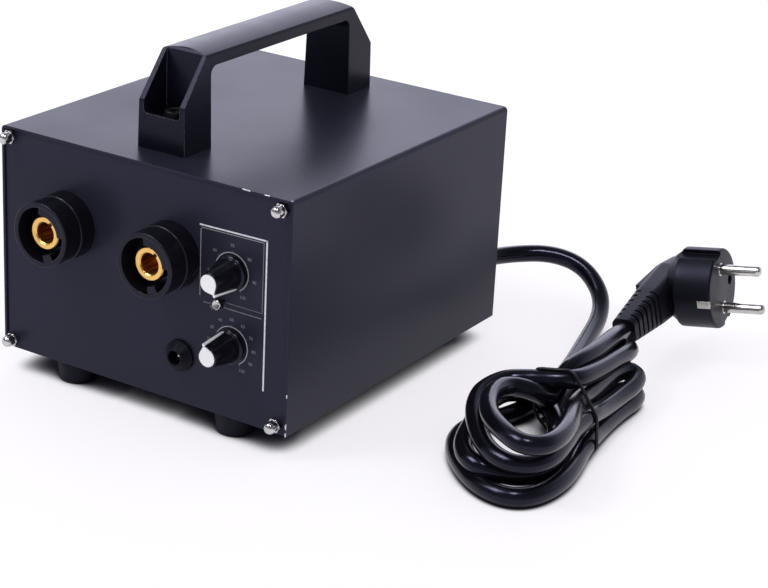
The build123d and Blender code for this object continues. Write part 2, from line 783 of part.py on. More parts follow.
# Welding transformer: laminated core, two coils round its middle leg, and a strap over it
core_middle = core_floor + core_height / 2
core = block(
    (core_x - core_width / 2, core_y - core_stack / 2, core_floor),
    (core_x + core_width / 2, core_y + core_stack / 2, core_floor + core_height),
)
for side in (-1, 1):
    window = sorted((side * core_leg / 2, side * (core_width / 2 - core_side_leg)))
    core -= block(
        (core_x + window[0], core_y - core_stack / 2, core_middle - window_height / 2),
        (core_x + window[1], core_y + core_stack / 2, core_middle + window_height / 2),
    )
save("transformer_core", core)


def coil(low, high):
    """A winding round the middle leg: a rounded ring with a rectangular hole."""
    outside = Rectangle(core_leg + 2 * coil_gap + 2 * coil_reach, 2 * coil_depth)
    outside = fillet(outside.vertices(), coil_corner)
    inside = Rectangle(core_leg + 2 * coil_gap, core_stack + 2 * coil_gap)
    return extrude(Pos(core_x, core_y, low) * (outside - inside), amount=high - low)


secondary_high = secondary_low + secondary_height
primary_low = secondary_high + coil_gap
save("secondary_coil", coil(secondary_low, secondary_high))
save("primary_coil", coil(primary_low, primary_low + primary_height))
strap_top = core_floor + core_height + strap_gap
strap_points = [
    (-strap_end, inner_floor),
    (-strap_end, inner_floor + strap_sheet),
    (-strap_half - strap_sheet, inner_floor + strap_sheet),
    (-strap_half - strap_sheet, strap_top + strap_sheet),
    (strap_half + strap_sheet, strap_top + strap_sheet),
    (strap_half + strap_sheet, inner_floor + strap_sheet),
    (strap_end, inner_floor + strap_sheet),
    (strap_end, inner_floor),
    (strap_half, inner_floor),
    (strap_half, strap_top),
    (-strap_half, strap_top),
    (-strap_half, inner_floor),
]
strap_plane = Plane((core_x, core_y, 0), x_dir=(1, 0, 0), z_dir=(0, -1, 0))
strap_outline = make_face(Polyline(*strap_points, close=True))
strap = extrude(strap_plane * strap_outline, amount=strap_width / 2, both=True)
for x, y in strap_places:
    strap -= above(x, y, inner_floor) * rod(strap_screw_d + 2 * hole_gap, 0, strap_sheet)
save("transformer_strap", strap)
strap_screw_low = case_floor - strap_head_h
strap_screw_high = inner_floor + strap_sheet + small_nut_h + thread_spare
strap_screw = rod(strap_head_d, strap_screw_low, case_floor)
strap_screw += rod(strap_screw_d, case_floor, strap_screw_high)
strap_nut_low = inner_floor + strap_sheet
strap_nut = nut(small_nut_across, strap_screw_d, strap_nut_low, strap_nut_low + small_nut_h)
base_screws = [above(x, y, 0) * strap_screw for x, y in strap_places]
small_nuts += [above(x, y, 0) * strap_nut for x, y in strap_places]
save("small_nuts", *small_nuts)

# Output leads: on along each lug's barrel, then back to the front of the secondary coil
lead_y = front_face - lug_middle
lead_start = lug_tail + lug_wall
output_leads = []
for name, x in socket_places.items():
    turn = lug_turns[name]
    route = FilletPolyline(
        (x + lead_start * sin(turn), lead_y, case_floor + socket_height - lead_start * cos(turn)),
        (lead_ends[name], lead_y, lead_height),
        (lead_ends[name], coil_front, lead_height),
        radius=lead_bend,
    )
    output_leads.append(sweep(Plane(origin=route @ 0, z_dir=route % 0) * Circle(lead_d / 2), path=route))
save("output_leads", *output_leads)

# Heat sink standing on the base, with the power switch on its front
sink_front = sink_y - sink_depth / 2
sink = block(
    (sink_x - sink_width / 2, sink_front, inner_floor),
    (sink_x + sink_width / 2, sink_y + sink_depth / 2, inner_floor + sink_plate),
)
sink += block(
    (sink_x - sink_width / 2, sink_front, inner_floor),
    (sink_x + sink_width / 2, sink_front + sink_plate, inner_floor + sink_height),
)
fin_step = (sink_width - sink_fin) / (sink_fins - 1)
for index in range(sink_fins):
    fin_x = sink_x - sink_width / 2 + index * fin_step
    sink += block(
        (fin_x, sink_front, inner_floor + sink_plate),
        (fin_x + sink_fin, sink_y + sink_depth / 2, inner_floor + sink_height),
    )
for x, y in sink_places:
    sink -= above(x, y, inner_floor) * rod(sink_screw_d + 2 * thread_gap, 0, sink_screw_depth)
save("heat_sink", sink)
sink_screw = rod(strap_head_d, case_floor - strap_head_h, case_floor)
sink_screw += rod(sink_screw_d, case_floor, inner_floor + sink_screw_depth)
base_screws += [above(x, y, 0) * sink_screw for x, y in sink_places]
save("base_screws", *base_screws)
triac_low = inner_floor + triac_height
triac_back = sink_front
triac = block(
    (sink_x - triac_size[0] / 2, triac_back - triac_size[1], triac_low),
    (sink_x + triac_size[0] / 2, triac_back, triac_low + triac_size[2]),
)
for step in (-1, 0, 1):
    lead_place = above(sink_x + step * triac_lead_pitch, triac_back - triac_size[1] / 2, triac_low)
    triac += lead_place * rod(triac_lead_d, -triac_lead_drop, 0)
save("power_triac", triac)

# Mains rocker switch: a frame snapped into the rear panel and a rocker on its pivot, stored at off
switch_frame = on_back(switch_x, switch_height)
well_half = sqrt(rocker_half**2 + rocker_end**2) + rocker_well_gap
well_bottom = -rocker_pivot_depth - rocker_half - rocker_well_gap
well_width = rocker_width + 2 * rocker_side_gap
frame_solid = box_on(bezel)
frame_solid = fillet(frame_solid.edges().filter_by(Axis.Z), bezel_round)
frame_solid += Pos(0, 0, -switch_body[2] / 2) * Box(*switch_body)
frame_solid -= block((-well_width / 2, -well_half, well_bottom), (well_width / 2, well_half, bezel[2]))
pivot_plane = Plane((0, 0, -rocker_pivot_depth), x_dir=(0, 1, 0), z_dir=(1, 0, 0))
pivot_reach = rocker_width / 2 + pivot_length
pivot_bore = pivot_reach + pivot_end_gap
frame_solid -= pivot_plane * rod(pivot_d + 2 * shaft_gap, -pivot_bore, pivot_bore)
rocker_outline = make_face(
    [
        Polyline(
            (rocker_half, 0),
            (rocker_half, rocker_end),
            (0, rocker_middle),
            (-rocker_half, rocker_end),
            (-rocker_half, 0),
        ),
        ThreePointArc((-rocker_half, 0), (0, -rocker_half), (rocker_half, 0)),
    ]
)
rocker_face = pivot_plane * (Rot(0, 0, -rocker_tilt) * rocker_outline)
rocker = extrude(rocker_face, amount=rocker_width / 2, both=True)
rocker += pivot_plane * rod(pivot_d, -pivot_reach, pivot_reach)
save("switch_frame", switch_frame * frame_solid)
save("switch_rocker", switch_frame * rocker)
tab_depth = -switch_body[2] - switch_tab[2] / 2
switch_tabs = [Pos(0, step * switch_tab_pitch / 2, tab_depth) * Box(*switch_tab) for step in (-1, 1)]
save("switch_tabs", *[switch_frame * piece for piece in switch_tabs])

# Cord grip: a flanged, threaded bush with a long tapered boot, and its nut inside
grip_frame = on_back(cord_exit_x, cord_exit_height)
grip = rod(grip_flange_d, 0, grip_flange) + rod(grip_thread_d, -grip_depth, 0)
grip += cone(grip_root_d, grip_tip_d, grip_flange, grip_length)
grip -= rod(cord_d, -grip_depth, grip_length)
save("cord_grip", grip_frame * grip)
grip_nut = nut(grip_nut_across, grip_thread_d, -panel_sheet - grip_nut_h, -panel_sheet)
save("cord_grip_nut", grip_frame * grip_nut)

# Rear panel, with holes for the studs, the cord grip and the switch, and a row of vents
rear_panel = block(
    (-inner_side + panel_gap, inner_back, case_floor),
    (inner_side - panel_gap, back_face, case_top - cover_sheet - panel_gap),
)
for corner in corners:
    rear_panel -= corner * stud_hole
rear_panel -= grip_frame * rod(grip_thread_d + 2 * thread_gap, -panel_sheet, 0)
switch_cut = (switch_body[0] + 2 * switch_cut_gap, switch_body[1] + 2 * switch_cut_gap, 2 * panel_sheet)
rear_panel -= switch_frame * Box(*switch_cut)
slot_outline = Pos(0, 0, -panel_sheet) * SlotOverall(vent_height, vent_width, rotation=90)
slot = extrude(slot_outline, amount=panel_sheet)
for index in range(vent_count):
    slot_x = vent_x + (index - (vent_count - 1) / 2) * vent_pitch
    rear_panel -= on_back(slot_x, vent_z) * slot
save("rear_panel", rear_panel)


# Supply cord and tail: straight runs joined by arcs as large as the runs allow
def cord_tube(name, points):
    """A round tube along a route, with the bend radii and the volume against the length printed."""
    points = [Vector(*point) for point in points]
    runs = [after - before for before, after in zip(points, points[1:])]
    radii = [
        arc_share * min(run.length, after.length) / tan(radians(run.get_angle(after) / 2))
        for run, after in zip(runs, runs[1:])
    ]
    route = FilletPolyline(*points, radius=radii)
    solid = sweep(Plane(origin=route @ 0, z_dir=route % 0) * Circle(cord_d / 2), path=route)
    share = solid.volume / (route.length * pi * cord_d**2 / 4)
    print(name, "radii", [round(radius, 1) for radius in radii])
    print(name, "length", round(route.length, 1), "share of section times length", round(share, 4))
    save(name, solid)


cord_start = (cord_exit_x, back_face, case_floor + cord_exit_height)
cord_tube("supply_cord", [cord_start, *cord_route])

# Hank: near loops with an open middle, the tied neck and the far loops, all in one solid
swing = Rot(0, 0, hank_swing)
near_bottom = Pos(*hank_near) * (swing * Ellipse(*hank_near_half))
near_top = Pos(*hank_top, hank_near_height) * (swing * Ellipse(*hank_top_half))
near = loft([near_bottom, near_top])
near = fillet(near.edges().group_by(Axis.Z)[-1], hank_round)
near -= extrude(Pos(*hank_hole) * (swing * Ellipse(*hank_hole_half)), amount=hank_near_height)
near -= block((0, hank_neck_y[0], 0), (2 * hank_near[0], hank_far_end, hank_near_height))
neck_x = sum(hank_neck_x) / 2
neck_z = sum(hank_neck_z) / 2
neck_size = (hank_neck_x[1] - hank_neck_x[0], hank_neck_z[1] - hank_neck_z[0])
neck_plane = Plane((neck_x, hank_neck_y[0], neck_z), x_dir=(1, 0, 0), z_dir=(0, -1, 0))
neck_outline = RectangleRounded(*neck_size, hank_neck_round)
neck = extrude(neck_plane * neck_outline, amount=hank_neck_y[0] - hank_neck_y[1])
far_width = hank_far_x[1] - hank_far_x[0]
far_x = sum(hank_far_x) / 2
far_length = hank_far_end - hank_neck_y[1] + far_width / 2
far_outline = Pos(far_x, hank_far_end - far_length / 2) * SlotOverall(far_length, far_width, rotation=90)
far_loops = extrude(far_outline, amount=hank_far_height)
far_loops = fillet(far_loops.edges().group_by(Axis.Z)[-1], hank_round)
far_loops &= block((0, hank_neck_y[1], 0), (2 * far_x, hank_far_end, hank_far_height))
save("cord_hank", near + neck + far_loops)
tie_plane = Plane((neck_x, tie_y, neck_z), x_dir=(1, 0, 0), z_dir=(0, -1, 0))
tie_size = [length + 2 * tie_wire for length in neck_size]
tie_ring = RectangleRounded(*tie_size, hank_neck_round + tie_wire) - neck_outline
save("cord_tie", extrude(tie_plane * tie_ring, amount=tie_width / 2, both=True))

# Plug, in a frame on its face: x up along the pins, y towards the boot, z out along the pins' own axis
plug_frame = Plane(plug_face, x_dir=plug_up, z_dir=plug_axis)
head = rod(plug_d, -plug_depth, 0)
head = fillet(head.edges(), plug_round)
head += cone(plug_back_d, plug_d - 2 * plug_round, -plug_depth - plug_back, -plug_depth)
boot_frame = Plane(
    (0, 0, -boot_axis_depth),
    x_dir=(1, 0, 0),
    z_dir=(0, cos(radians(boot_lean)), -sin(radians(boot_lean))),
)


def boot_shape(inset):
    """The boot along its own axis, from the head to the cord, taken in by an inset."""
    sections = (
        (boot_root, boot_root_size),
        (0, boot_middle_size),
        (boot_waist, boot_waist_size),
        (boot_end, boot_end_size),
    )
    faces = [
        Pos(0, 0, height) * RectangleRounded(size[0] - 2 * inset, size[1] - 2 * inset, boot_corner - inset)
        for height, size in sections
    ]
    return loft(faces, ruled=True)


boot = boot_shape(0)
boot_skin = boot - boot_shape(rib_depth)
rib_pitch = (boot_end - boot_waist) / (rib_count + 1)
rib_reach = 2 * boot_waist_size[0]
rib_cut = Box(rib_reach, rib_reach, rib_slot) - Box(rib_reach, rib_strip, rib_slot)
for index in range(rib_count):
    slot_middle = boot_waist + (index + 1) * rib_pitch
    boot -= boot_skin & (Pos(0, 0, slot_middle) * rib_cut)
pad = block(
    (-pad_size[0] / 2, 0, pad_start),
    (pad_size[0] / 2, boot_middle_size[1] / 2 + pad_size[2], pad_start + pad_size[1]),
)
boot += fillet(pad.edges().group_by(Axis.Y)[-1], pad_round)
plug = head + boot_frame * boot
for side in (-1, 1):
    groove_x = sorted((side * plug_d / 2, side * (plug_d / 2 - plug_groove[0])))
    groove = block(
        (groove_x[0], -plug_groove[1] / 2, -plug_groove[2]),
        (groove_x[1], plug_groove[1] / 2, 0),
    )
    plug -= Rot(0, 0, plug_groove_turn) * groove
plug -= Pos(0, -earth_hole_offset, 0) * rod(earth_hole_d, -earth_hole_depth, 0)
pin = fillet(rod(pin_d, 0, pin_length).edges().group_by(Axis.Z)[-1], pin_round)
pin += rod(pin_stem_d, -pin_stem, 0)
pins = [Pos(side * pin_pitch / 2, 0, 0) * pin for side in (-1, 1)]
clip_y = plug_d / 2 - clip_size[1] / 2
clips = [Pos(0, side * clip_y, -clip_size[2] / 2) * Box(*clip_size) for side in (-1, 1)]
for piece in pins + clips:
    plug -= piece
save("plug_body", plug_frame * plug)
save("plug_pins", *[plug_frame * piece for piece in pins])
save("plug_earth_clips", *[plug_frame * piece for piece in clips])
boot_tip = plug_frame * (boot_frame * Pos(0, 0, boot_end))
cord_tube("cord_tail", [*tail_route, tuple(boot_tip.position)])
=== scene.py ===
import bpy
import numpy as np
from mathutils import Matrix, Vector


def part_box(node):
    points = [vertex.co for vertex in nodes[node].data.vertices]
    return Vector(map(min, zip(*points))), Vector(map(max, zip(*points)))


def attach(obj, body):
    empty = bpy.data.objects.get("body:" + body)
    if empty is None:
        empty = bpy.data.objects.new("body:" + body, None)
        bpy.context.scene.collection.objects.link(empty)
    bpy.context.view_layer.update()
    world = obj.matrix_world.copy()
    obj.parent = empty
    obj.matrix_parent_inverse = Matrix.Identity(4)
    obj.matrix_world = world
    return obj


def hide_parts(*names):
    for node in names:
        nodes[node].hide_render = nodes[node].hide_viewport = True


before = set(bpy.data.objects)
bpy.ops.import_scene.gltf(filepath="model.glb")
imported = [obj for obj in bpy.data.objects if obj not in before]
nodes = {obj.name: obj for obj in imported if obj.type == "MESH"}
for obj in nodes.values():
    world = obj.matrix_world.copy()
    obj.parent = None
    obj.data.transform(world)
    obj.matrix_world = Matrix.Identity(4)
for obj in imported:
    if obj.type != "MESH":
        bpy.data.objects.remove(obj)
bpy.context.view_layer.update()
scene = bpy.context.scene

# Camera. A long lens stands to the front right of the welder and looks down on it, so that the front panel,
# the right side, the top and the whole cord are seen.
MM = 0.001
EYE = Vector((527.5, -740.9, 396.35)) * MM
LOOK = Vector((-0.48755, 0.78977, -0.37223)).normalized()
LENS = 102.87
SENSOR = 36.0
upright = Vector((-0.23996, 0.28871, 0.92686))
sideways = LOOK.cross(upright).normalized()
upright = sideways.cross(LOOK)
lens = bpy.data.cameras.new("camera")
lens.lens = LENS
lens.sensor_width = SENSOR
camera = bpy.data.objects.new("camera", lens)
turn = Matrix((sideways, upright, -LOOK)).transposed().to_4x4()
camera.matrix_world = Matrix.Translation(EYE) @ turn
scene.collection.objects.link(camera)
scene.camera = camera


# Supply cord. A round flexible mains lead with a smooth black sheath leaves the grip in the rear panel and
# drops to the table. It is folded into a loose hank of four turns under a wire tie, and ends in its plug.
class Term:
    """A value in a finish. Arithmetic on it adds one Math node for each operator."""

    def __init__(self, finish, socket):
        self.finish = finish
        self.socket = socket

    def worked(self, operation, *terms):
        """One Math node on terms or numbers."""
        return self.finish.node("Math", {"operation": operation}, dict(enumerate(terms)))

    def __add__(self, other):
        return self.worked("ADD", self, other)

    __radd__ = __add__

    def __sub__(self, other):
        return self.worked("SUBTRACT", self, other)

    def __rsub__(self, other):
        return self.worked("SUBTRACT", other, self)

    def __mul__(self, other):
        return self.worked("MULTIPLY", self, other)

    __rmul__ = __mul__

    def __pow__(self, other):
        return self.worked("POWER", self, other)

    def __lt__(self, other):
        return self.worked("LESS_THAN", self, other)

    def __abs__(self):
        return self.worked("ABSOLUTE", self)

    def least(self, other):
        return self.worked("MINIMUM", self, other)

    def most(self, other):
        return self.worked("MAXIMUM", self, other)

    def sine(self):
        return self.worked("SINE", self)


class Finish:
    """A material round one principled shader: fixed values go on its sockets, terms are linked to them."""

    EDGE_TURN = (0.01, 0.15)

    def __init__(self, name, fixed):
        self.material = bpy.data.materials.new(name)
        self.material.use_nodes = True
        self.tree = self.material.node_tree
        self.shader = self.tree.nodes["Principled BSDF"]
        self.set(fixed)

    def put(self, socket, value):
        """Link a term to a socket, or set a fixed value on it."""
        if isinstance(value, Term):
            self.tree.links.new(value.socket, socket)
        else:
            socket.default_value = value

    def set(self, values):
        """Put values on the shader's sockets by name."""
        for name, value in values.items():
            self.put(self.shader.inputs[name], value)

    def node(self, kind, settings, inputs, output=0):
        """Any node: its settings first, then the values or links of its sockets; gives one of its outputs."""
        made = self.tree.nodes.new("ShaderNode" + kind)
        for name, value in settings.items():
            setattr(made, name, value)
        for name, value in inputs.items():
            self.put(made.inputs[name], value)
        return Term(self, made.outputs[output])

    def place(self):
        """The point on the object."""
        return self.node("TexCoord", {}, {}, "Object")

    def axes(self):
        """The point's three coordinates."""
        place = self.place()
        return [self.node("SeparateXYZ", {}, {0: place}, axis) for axis in "XYZ"]

    def noise(self, scale, detail=2.0, place=None):
        """Soft noise over the object, between 0 and 1."""
        inputs = {"Vector": place or self.place(), "Scale": scale, "Detail": detail}
        return self.node("TexNoise", {}, inputs)

    def spread(self, value, low, high, out_low=0.0, out_high=1.0):
        """A value between two marks carried smoothly over to two others, and held there outside them."""
        inputs = {"Value": value, "From Min": low, "From Max": high, "To Min": out_low, "To Max": out_high}
        return self.node("MapRange", {"interpolation_type": "SMOOTHSTEP"}, inputs)

    def tint(self, share, first, second):
        """A colour between two, by a share."""
        return self.node("Mix", {"data_type": "RGBA"}, {0: share, 6: first, 7: second}, 2)

    def edges(self, radius):
        """1 on sharp edges and 0 on flats, from how far a rounded normal turns away from the plain one."""
        rounded = self.node("Bevel", {"samples": 4}, {"Radius": radius})
        plain = self.node("NewGeometry", {}, {}, "Normal")
        facing = self.node("VectorMath", {"operation": "DOT_PRODUCT"}, {0: rounded, 1: plain}, "Value")
        return self.spread(1.0 - facing, *self.EDGE_TURN)

    def relief(self, height, depth, edge=0.0):
        """Bump of a depth in metres; an edge radius also rounds the shading of sharp edges."""
        inputs = {"Height": height, "Strength": 1.0, "Distance": depth}
        if edge:
            inputs["Normal"] = self.node("Bevel", {"samples": 4}, {"Radius": edge})
        self.set({"Normal": self.node("Bump", {}, inputs)})


def shade(level, blue=1.5):
    """A dark cool colour with an opaque alpha; blue lifts its last channel."""
    return (level, level, level * blue, 1.0)


COOL = (0.66, 0.65, 1.0, 1.0)


def dress(finish, *names):
    """Give CAD nodes a finish."""
    for name in names:
        nodes[name].data.materials.clear()
        nodes[name].data.materials.append(finish.material)


CORD_D = 8.2 * MM
EXIT = (53.0, 88.2, 26.0)
# From the grip in the rear panel down to the table, and along it to the tie.
LEAD = [
    EXIT, (53, 111.2, 26), (61, 130.7, 25), (76.5, 140.7, 26.2), (91.5, 144.9, 22.4), (104.5, 140.2, 13.8),
    (111.8, 127.7, 7.2), (117.3, 103.7, 4.5), (125.5, 73.5, 4.2), (131.3, 44.7, 4.2), (132.3, 22.7, 4.2),
]
# The largest turn lies on the table and comes back to the lowest fold behind the tie.
FIRST_TURN = [
    (129.3, 6.7, 4.2), (122.5, -7.3, 4.2), (122.6, -22.3, 4.2), (129.6, -35.5, 4.2), (140.5, -46.9, 4.2),
    (152.6, -55.3, 4.2), (163.7, -58.1, 4.2), (171.9, -55.4, 4.2), (176.7, -46.2, 4.2), (177.8, -31.9, 4.2),
    (175.1, -17, 4.2), (171.2, -3.5, 4.3), (170, 5.2, 5.6), (167.5, 17.7, 4.2), (166, 30.7, 4.2),
    (165.3, 44.7, 4.2), (165.6, 55.7, 4.2), (163.2, 64.2, 4.2), (156, 64.2, 4.2), (153.4, 55.7, 4.2),
    (153.8, 44.7, 4.2), (155.8, 31.7, 4.2), (159.2, 19.2, 5.4),
]
# The second turn leans on the first, dips inside the ring, and rises to the upper fold.
SECOND_TURN = [
    (163.2, 7.7, 7.6), (164.5, 4.1, 7.2), (165.8, -6.1, 5.6), (168.8, -18.4, 5.2), (169.2, -30.5, 5.8),
    (166.9, -39.5, 6.5), (162.4, -46, 7.5), (155.8, -49.9, 9), (148.8, -52, 10.5), (141.2, -47.9, 11.5),
    (135.2, -38.8, 12), (130.3, -24.4, 12.2), (125, -3.6, 12.2), (124.1, 11.6, 12), (129.1, 17.8, 12),
    (137.9, 18.3, 11.7), (145.5, 14.2, 11.4), (155, 3.2, 11.8), (160.5, -4.8, 11.2), (160.7, -5.3, 5.2),
    (155.5, 3.2, 4.2), (151.6, 13.7, 7), (148.8, 27.2, 11.3), (147.6, 45.7, 15), (147, 57.7, 17),
    (147.4, 69.2, 18.8), (154.2, 72.2, 21), (157.4, 62.7, 22.6), (158, 49.7, 24), (159.2, 33.7, 25.6),
]
# The third turn crosses over the tie, drops on the second, and comes back to the middle fold.
THIRD_TURN = [
    (159.3, 12.1, 28.2), (153.5, 7.2, 28.2), (146.5, 3.8, 27.6), (139.7, 1.9, 26.6), (133.5, -1.7, 26),
    (130.4, -8.3, 25.2), (129.6, -17.3, 24), (132.7, -26.1, 22.6), (137.1, -33.7, 21.2), (144.6, -43.1, 19.6),
    (151.8, -49.3, 18), (159.6, -52.9, 17), (167.6, -53.1, 16.5), (173.2, -47.5, 16.2), (175.5, -37.3, 16.2),
    (173, -22.8, 16.4), (169.7, -9, 16.6), (168.5, 8.2, 16), (167.3, 18.7, 13.8), (166.2, 30.7, 12.5),
    (165.8, 41.7, 12.3), (166, 52.7, 12.6), (164, 61.7, 13.6), (158.6, 61.7, 15.4), (156.8, 52.7, 16.3),
    (157.6, 42.7, 16.9), (159.8, 25.7, 18.2),
]
# The last turn is the smaller ring on top; its end ducks under the third turn and runs to the plug.
LAST_TURN = [
    (161.4, 9.7, 19.3), (168, -7.5, 23.5), (175.4, -24.7, 25.9), (178.9, -38.1, 27), (179.5, -48.3, 27.8),
    (177.3, -53.9, 28.2), (172.7, -57.3, 28.7), (166.8, -56.3, 29.2), (159, -51.8, 29.5),
    (151.2, -45.8, 29.6), (144.6, -37.1, 29.4), (139.6, -26.2, 28.9), (137.6, -15.9, 28.1),
    (139.4, -9.2, 27.2), (144, -5.7, 26.2),
]
TAIL = [
    (148.3, -3.1, 24.6), (149.8, 1.7, 21.4), (150, 6.3, 18.9), (150.4, 11.7, 22.6), (151.2, 17.7, 27.8),
    (152.3, 25.7, 29.6), (152.9, 35.7, 29.6), (152, 47.7, 29), (149.2, 65.7, 27.4), (146.1, 81.1, 23.8),
    (146, 87.7, 24.7),
]
route = np.array(LEAD + FIRST_TURN + SECOND_TURN + THIRD_TURN + LAST_TURN + TAIL) * MM
cord_line = bpy.data.curves.new("supply_flex", "CURVE")
cord_line.dimensions = "3D"
cord_line.bevel_depth = CORD_D / 2
cord_line.bevel_resolution = 5
cord_line.resolution_u = 6
cord_line.use_fill_caps = True
spline = cord_line.splines.new("NURBS")
spline.points.add(len(route) - 1)
spline.points.foreach_set("co", np.column_stack([route, np.ones(len(route))]).ravel())
spline.order_u = 3
spline.use_endpoint_u = True
supply_flex = bpy.data.objects.new("supply_flex", cord_line)
scene.collection.objects.link(supply_flex)

sheath = Finish("cord_sheath", {"Specular IOR Level": 0.3, "Specular Tint": COOL})
sheath_cloud = sheath.noise(55.0, 3.0)
sheath_grain = sheath.noise(1400.0)
sheath.set(
    {
        "Base Color": sheath.tint(sheath_cloud, shade(0.003, 1.6), shade(0.006, 1.6)),
        "Roughness": sheath.spread(sheath_cloud, 0.3, 0.7, 0.15, 0.22),
    }
)
sheath.relief(sheath_grain, 0.00003)
cord_line.materials.append(sheath.material)
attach(supply_flex, "welder")
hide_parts("supply_cord", "cord_hank", "cord_tail")


# Wire tie. A length of black coated wire goes round the neck of the hank and hugs its strands; its two ends
# are twisted together underneath, on the side towards the case.
def ring_faces(rows, columns, join_rows):
    """Quads between neighbours of a grid kept row by row; columns close on themselves, rows if asked."""
    row = np.arange(rows if join_rows else rows - 1)[:, None]
    column = np.arange(columns)[None, :]
    below = (row + 1) % rows * columns
    after = (column + 1) % columns
    corners = [row * columns + column, row * columns + after, below + after, below + column]
    return np.stack(corners, axis=-1).reshape(-1, 4)


def make_piece(name, points, faces, finish, body):
    """A smooth shaded mesh from points in metres and lists of corners, riding on a body."""
    mesh = bpy.data.meshes.new(name)
    mesh.from_pydata(points.tolist(), [], [list(map(int, face)) for face in faces])
    mesh.polygons.foreach_set("use_smooth", np.ones(len(mesh.polygons), dtype=bool))
    mesh.materials.append(finish.material)
    piece = bpy.data.objects.new(name, mesh)
    scene.collection.objects.link(piece)
    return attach(piece, body)


# Where the outer strands pass the tie, in x and z.
STRANDS = np.array(
    [
        (147.2, 27.4), (157.4, 28.2), (162.2, 19.8), (168.5, 15.8),
        (169.6, 5.75), (153.0, 5.75), (146.6, 11.5),
    ]
)
TIE_MIDDLE = (155.0, 8.4)
TIE_LEAN = {"left": -0.05, "right": -0.22}
TIE_DRAW = 0.62
CROSSING_Z = (28.0, 33.0)
WIRE_D = 1.5
TWIST_FOOT = np.array((144.6, 12.4, 5.0))
TWIST_WAY = np.array((-0.12, 0.97, -0.2))
TWIST_LENGTH = 11.0
TWIST_TURNS = 3.0
wire_angle = np.linspace(0.0, 2.0 * np.pi, 96, endpoint=False)
wire_round = np.linspace(0.0, 2.0 * np.pi, 8, endpoint=False)


def hugging(strands):
    """A closed path round a bundle: for each direction the strand that reaches furthest, plus its radius.

    The path leans forwards to the right, and at the top left it is drawn forwards over the crossing strand.
    """
    way = np.stack([np.cos(wire_angle), np.sin(wire_angle)], axis=1)
    touched = strands[np.argmax(way @ strands.T, axis=1)] + way * (CORD_D / MM + WIRE_D) / 2
    right, up = touched[:, 0] - TIE_MIDDLE[0], touched[:, 1]
    lean = np.where(right > 0.0, TIE_LEAN["right"], TIE_LEAN["left"]) * right
    crossing = np.clip((up - CROSSING_Z[0]) / np.ptp(CROSSING_Z), 0.0, 1.0)
    drawn = TIE_DRAW * np.minimum(right, 0.0) * crossing
    return np.column_stack([touched[:, 0], TIE_MIDDLE[1] + lean + drawn, up])


def twisted(start):
    """One end of the twist: a helix of half the wire's width about the line from its foot."""
    share = np.linspace(0.0, 1.0, 40)[:, None]
    turn = start + 2.0 * np.pi * TWIST_TURNS * share
    way = TWIST_WAY / np.linalg.norm(TWIST_WAY)
    across = np.cross(way, (0.0, 0.0, 1.0))
    across /= np.linalg.norm(across)
    coil = np.cos(turn) * across + np.sin(turn) * np.cross(way, across)
    return TWIST_FOOT + share * TWIST_LENGTH * way + WIRE_D / 2 * coil


def wire_along(path, closed):
    """A round wire carried along a path: circles square to the path, joined into a tube."""
    ahead = np.roll(path, -1, axis=0) - np.roll(path, 1, axis=0)
    if not closed:
        ahead[[0, -1]] = path[1] - path[0], path[-1] - path[-2]
    ahead /= np.linalg.norm(ahead, axis=1, keepdims=True)
    side = np.cross(ahead, (0.0, 1.0, 0.0))
    side /= np.linalg.norm(side, axis=1, keepdims=True)
    lift = np.cross(side, ahead)
    circle = np.cos(wire_round)[:, None] * side[:, None] + np.sin(wire_round)[:, None] * lift[:, None]
    faces = ring_faces(len(path), len(wire_round), closed).tolist()
    if not closed:
        last = (len(path) - 1) * len(wire_round)
        faces += [list(range(len(wire_round)))[::-1], list(range(last, last + len(wire_round)))]
    return (path[:, None] + WIRE_D / 2 * circle).reshape(-1, 3), faces


def gather(shapes):
    """Points and faces of several shapes as one; faces are moved up past the points of the shapes before."""
    starts = np.cumsum([0] + [len(points) for points, faces in shapes])
    pairs = zip(starts, shapes)
    gathered = [[start + corner for corner in face] for start, shape in pairs for face in shape[1]]
    return np.concatenate([points for points, faces in shapes]), gathered


wire_paths = [(hugging(STRANDS), True), (twisted(0.0), False), (twisted(np.pi), False)]
wire_points, wire_faces = gather([wire_along(path, closed) for path, closed in wire_paths])
tie_coat = Finish("tie_coat", {"Roughness": 0.4, "Specular IOR Level": 0.3})
tie_grain = tie_coat.noise(900.0)
tie_coat.set({"Base Color": tie_coat.tint(tie_grain, shade(0.003), shade(0.007))})
tie_coat.relief(tie_grain, 0.00005)
cord_wire = make_piece("cord_wire", wire_points * MM, wire_faces, tie_coat, "welder")
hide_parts("cord_tie")

# Plug. An earthed mains plug is moulded in one with its angled, ribbed boot; two round nickel plated pins
# stand in its face, and a sprung earth clip lies in the groove on each side. The grip at the case is alike.
moulding = Finish("plug_moulding", {"Specular IOR Level": 0.2, "Specular Tint": COOL})
moulding_cloud = moulding.noise(40.0, 3.0)
moulding_grain = moulding.noise(2200.0, 3.0)
moulding.set(
    {
        "Base Color": moulding.tint(moulding_cloud, shade(0.003), shade(0.006)),
        "Roughness": moulding.spread(moulding_cloud, 0.3, 0.7, 0.34, 0.46),
    }
)
moulding.relief(moulding_grain, 0.00003, 0.0005)
dress(moulding, "plug_body", "cord_grip", "cord_grip_nut")


def plated(name, tone, low, high):
    """A bright metal whose polish varies in soft clouds, with fine draw marks."""
    finish = Finish(name, {"Metallic": 1.0})
    cloud = finish.noise(260.0, 4.0)
    darker = tuple(0.8 * channel for channel in tone[:3]) + (1.0,)
    finish.set(
        {
            "Base Color": finish.tint(finish.spread(cloud, 0.35, 0.65), darker, tone),
            "Roughness": finish.spread(cloud, 0.3, 0.7, low, high),
        }
    )
    finish.relief(finish.noise(3000.0), 0.000008, 0.0002)
    return finish


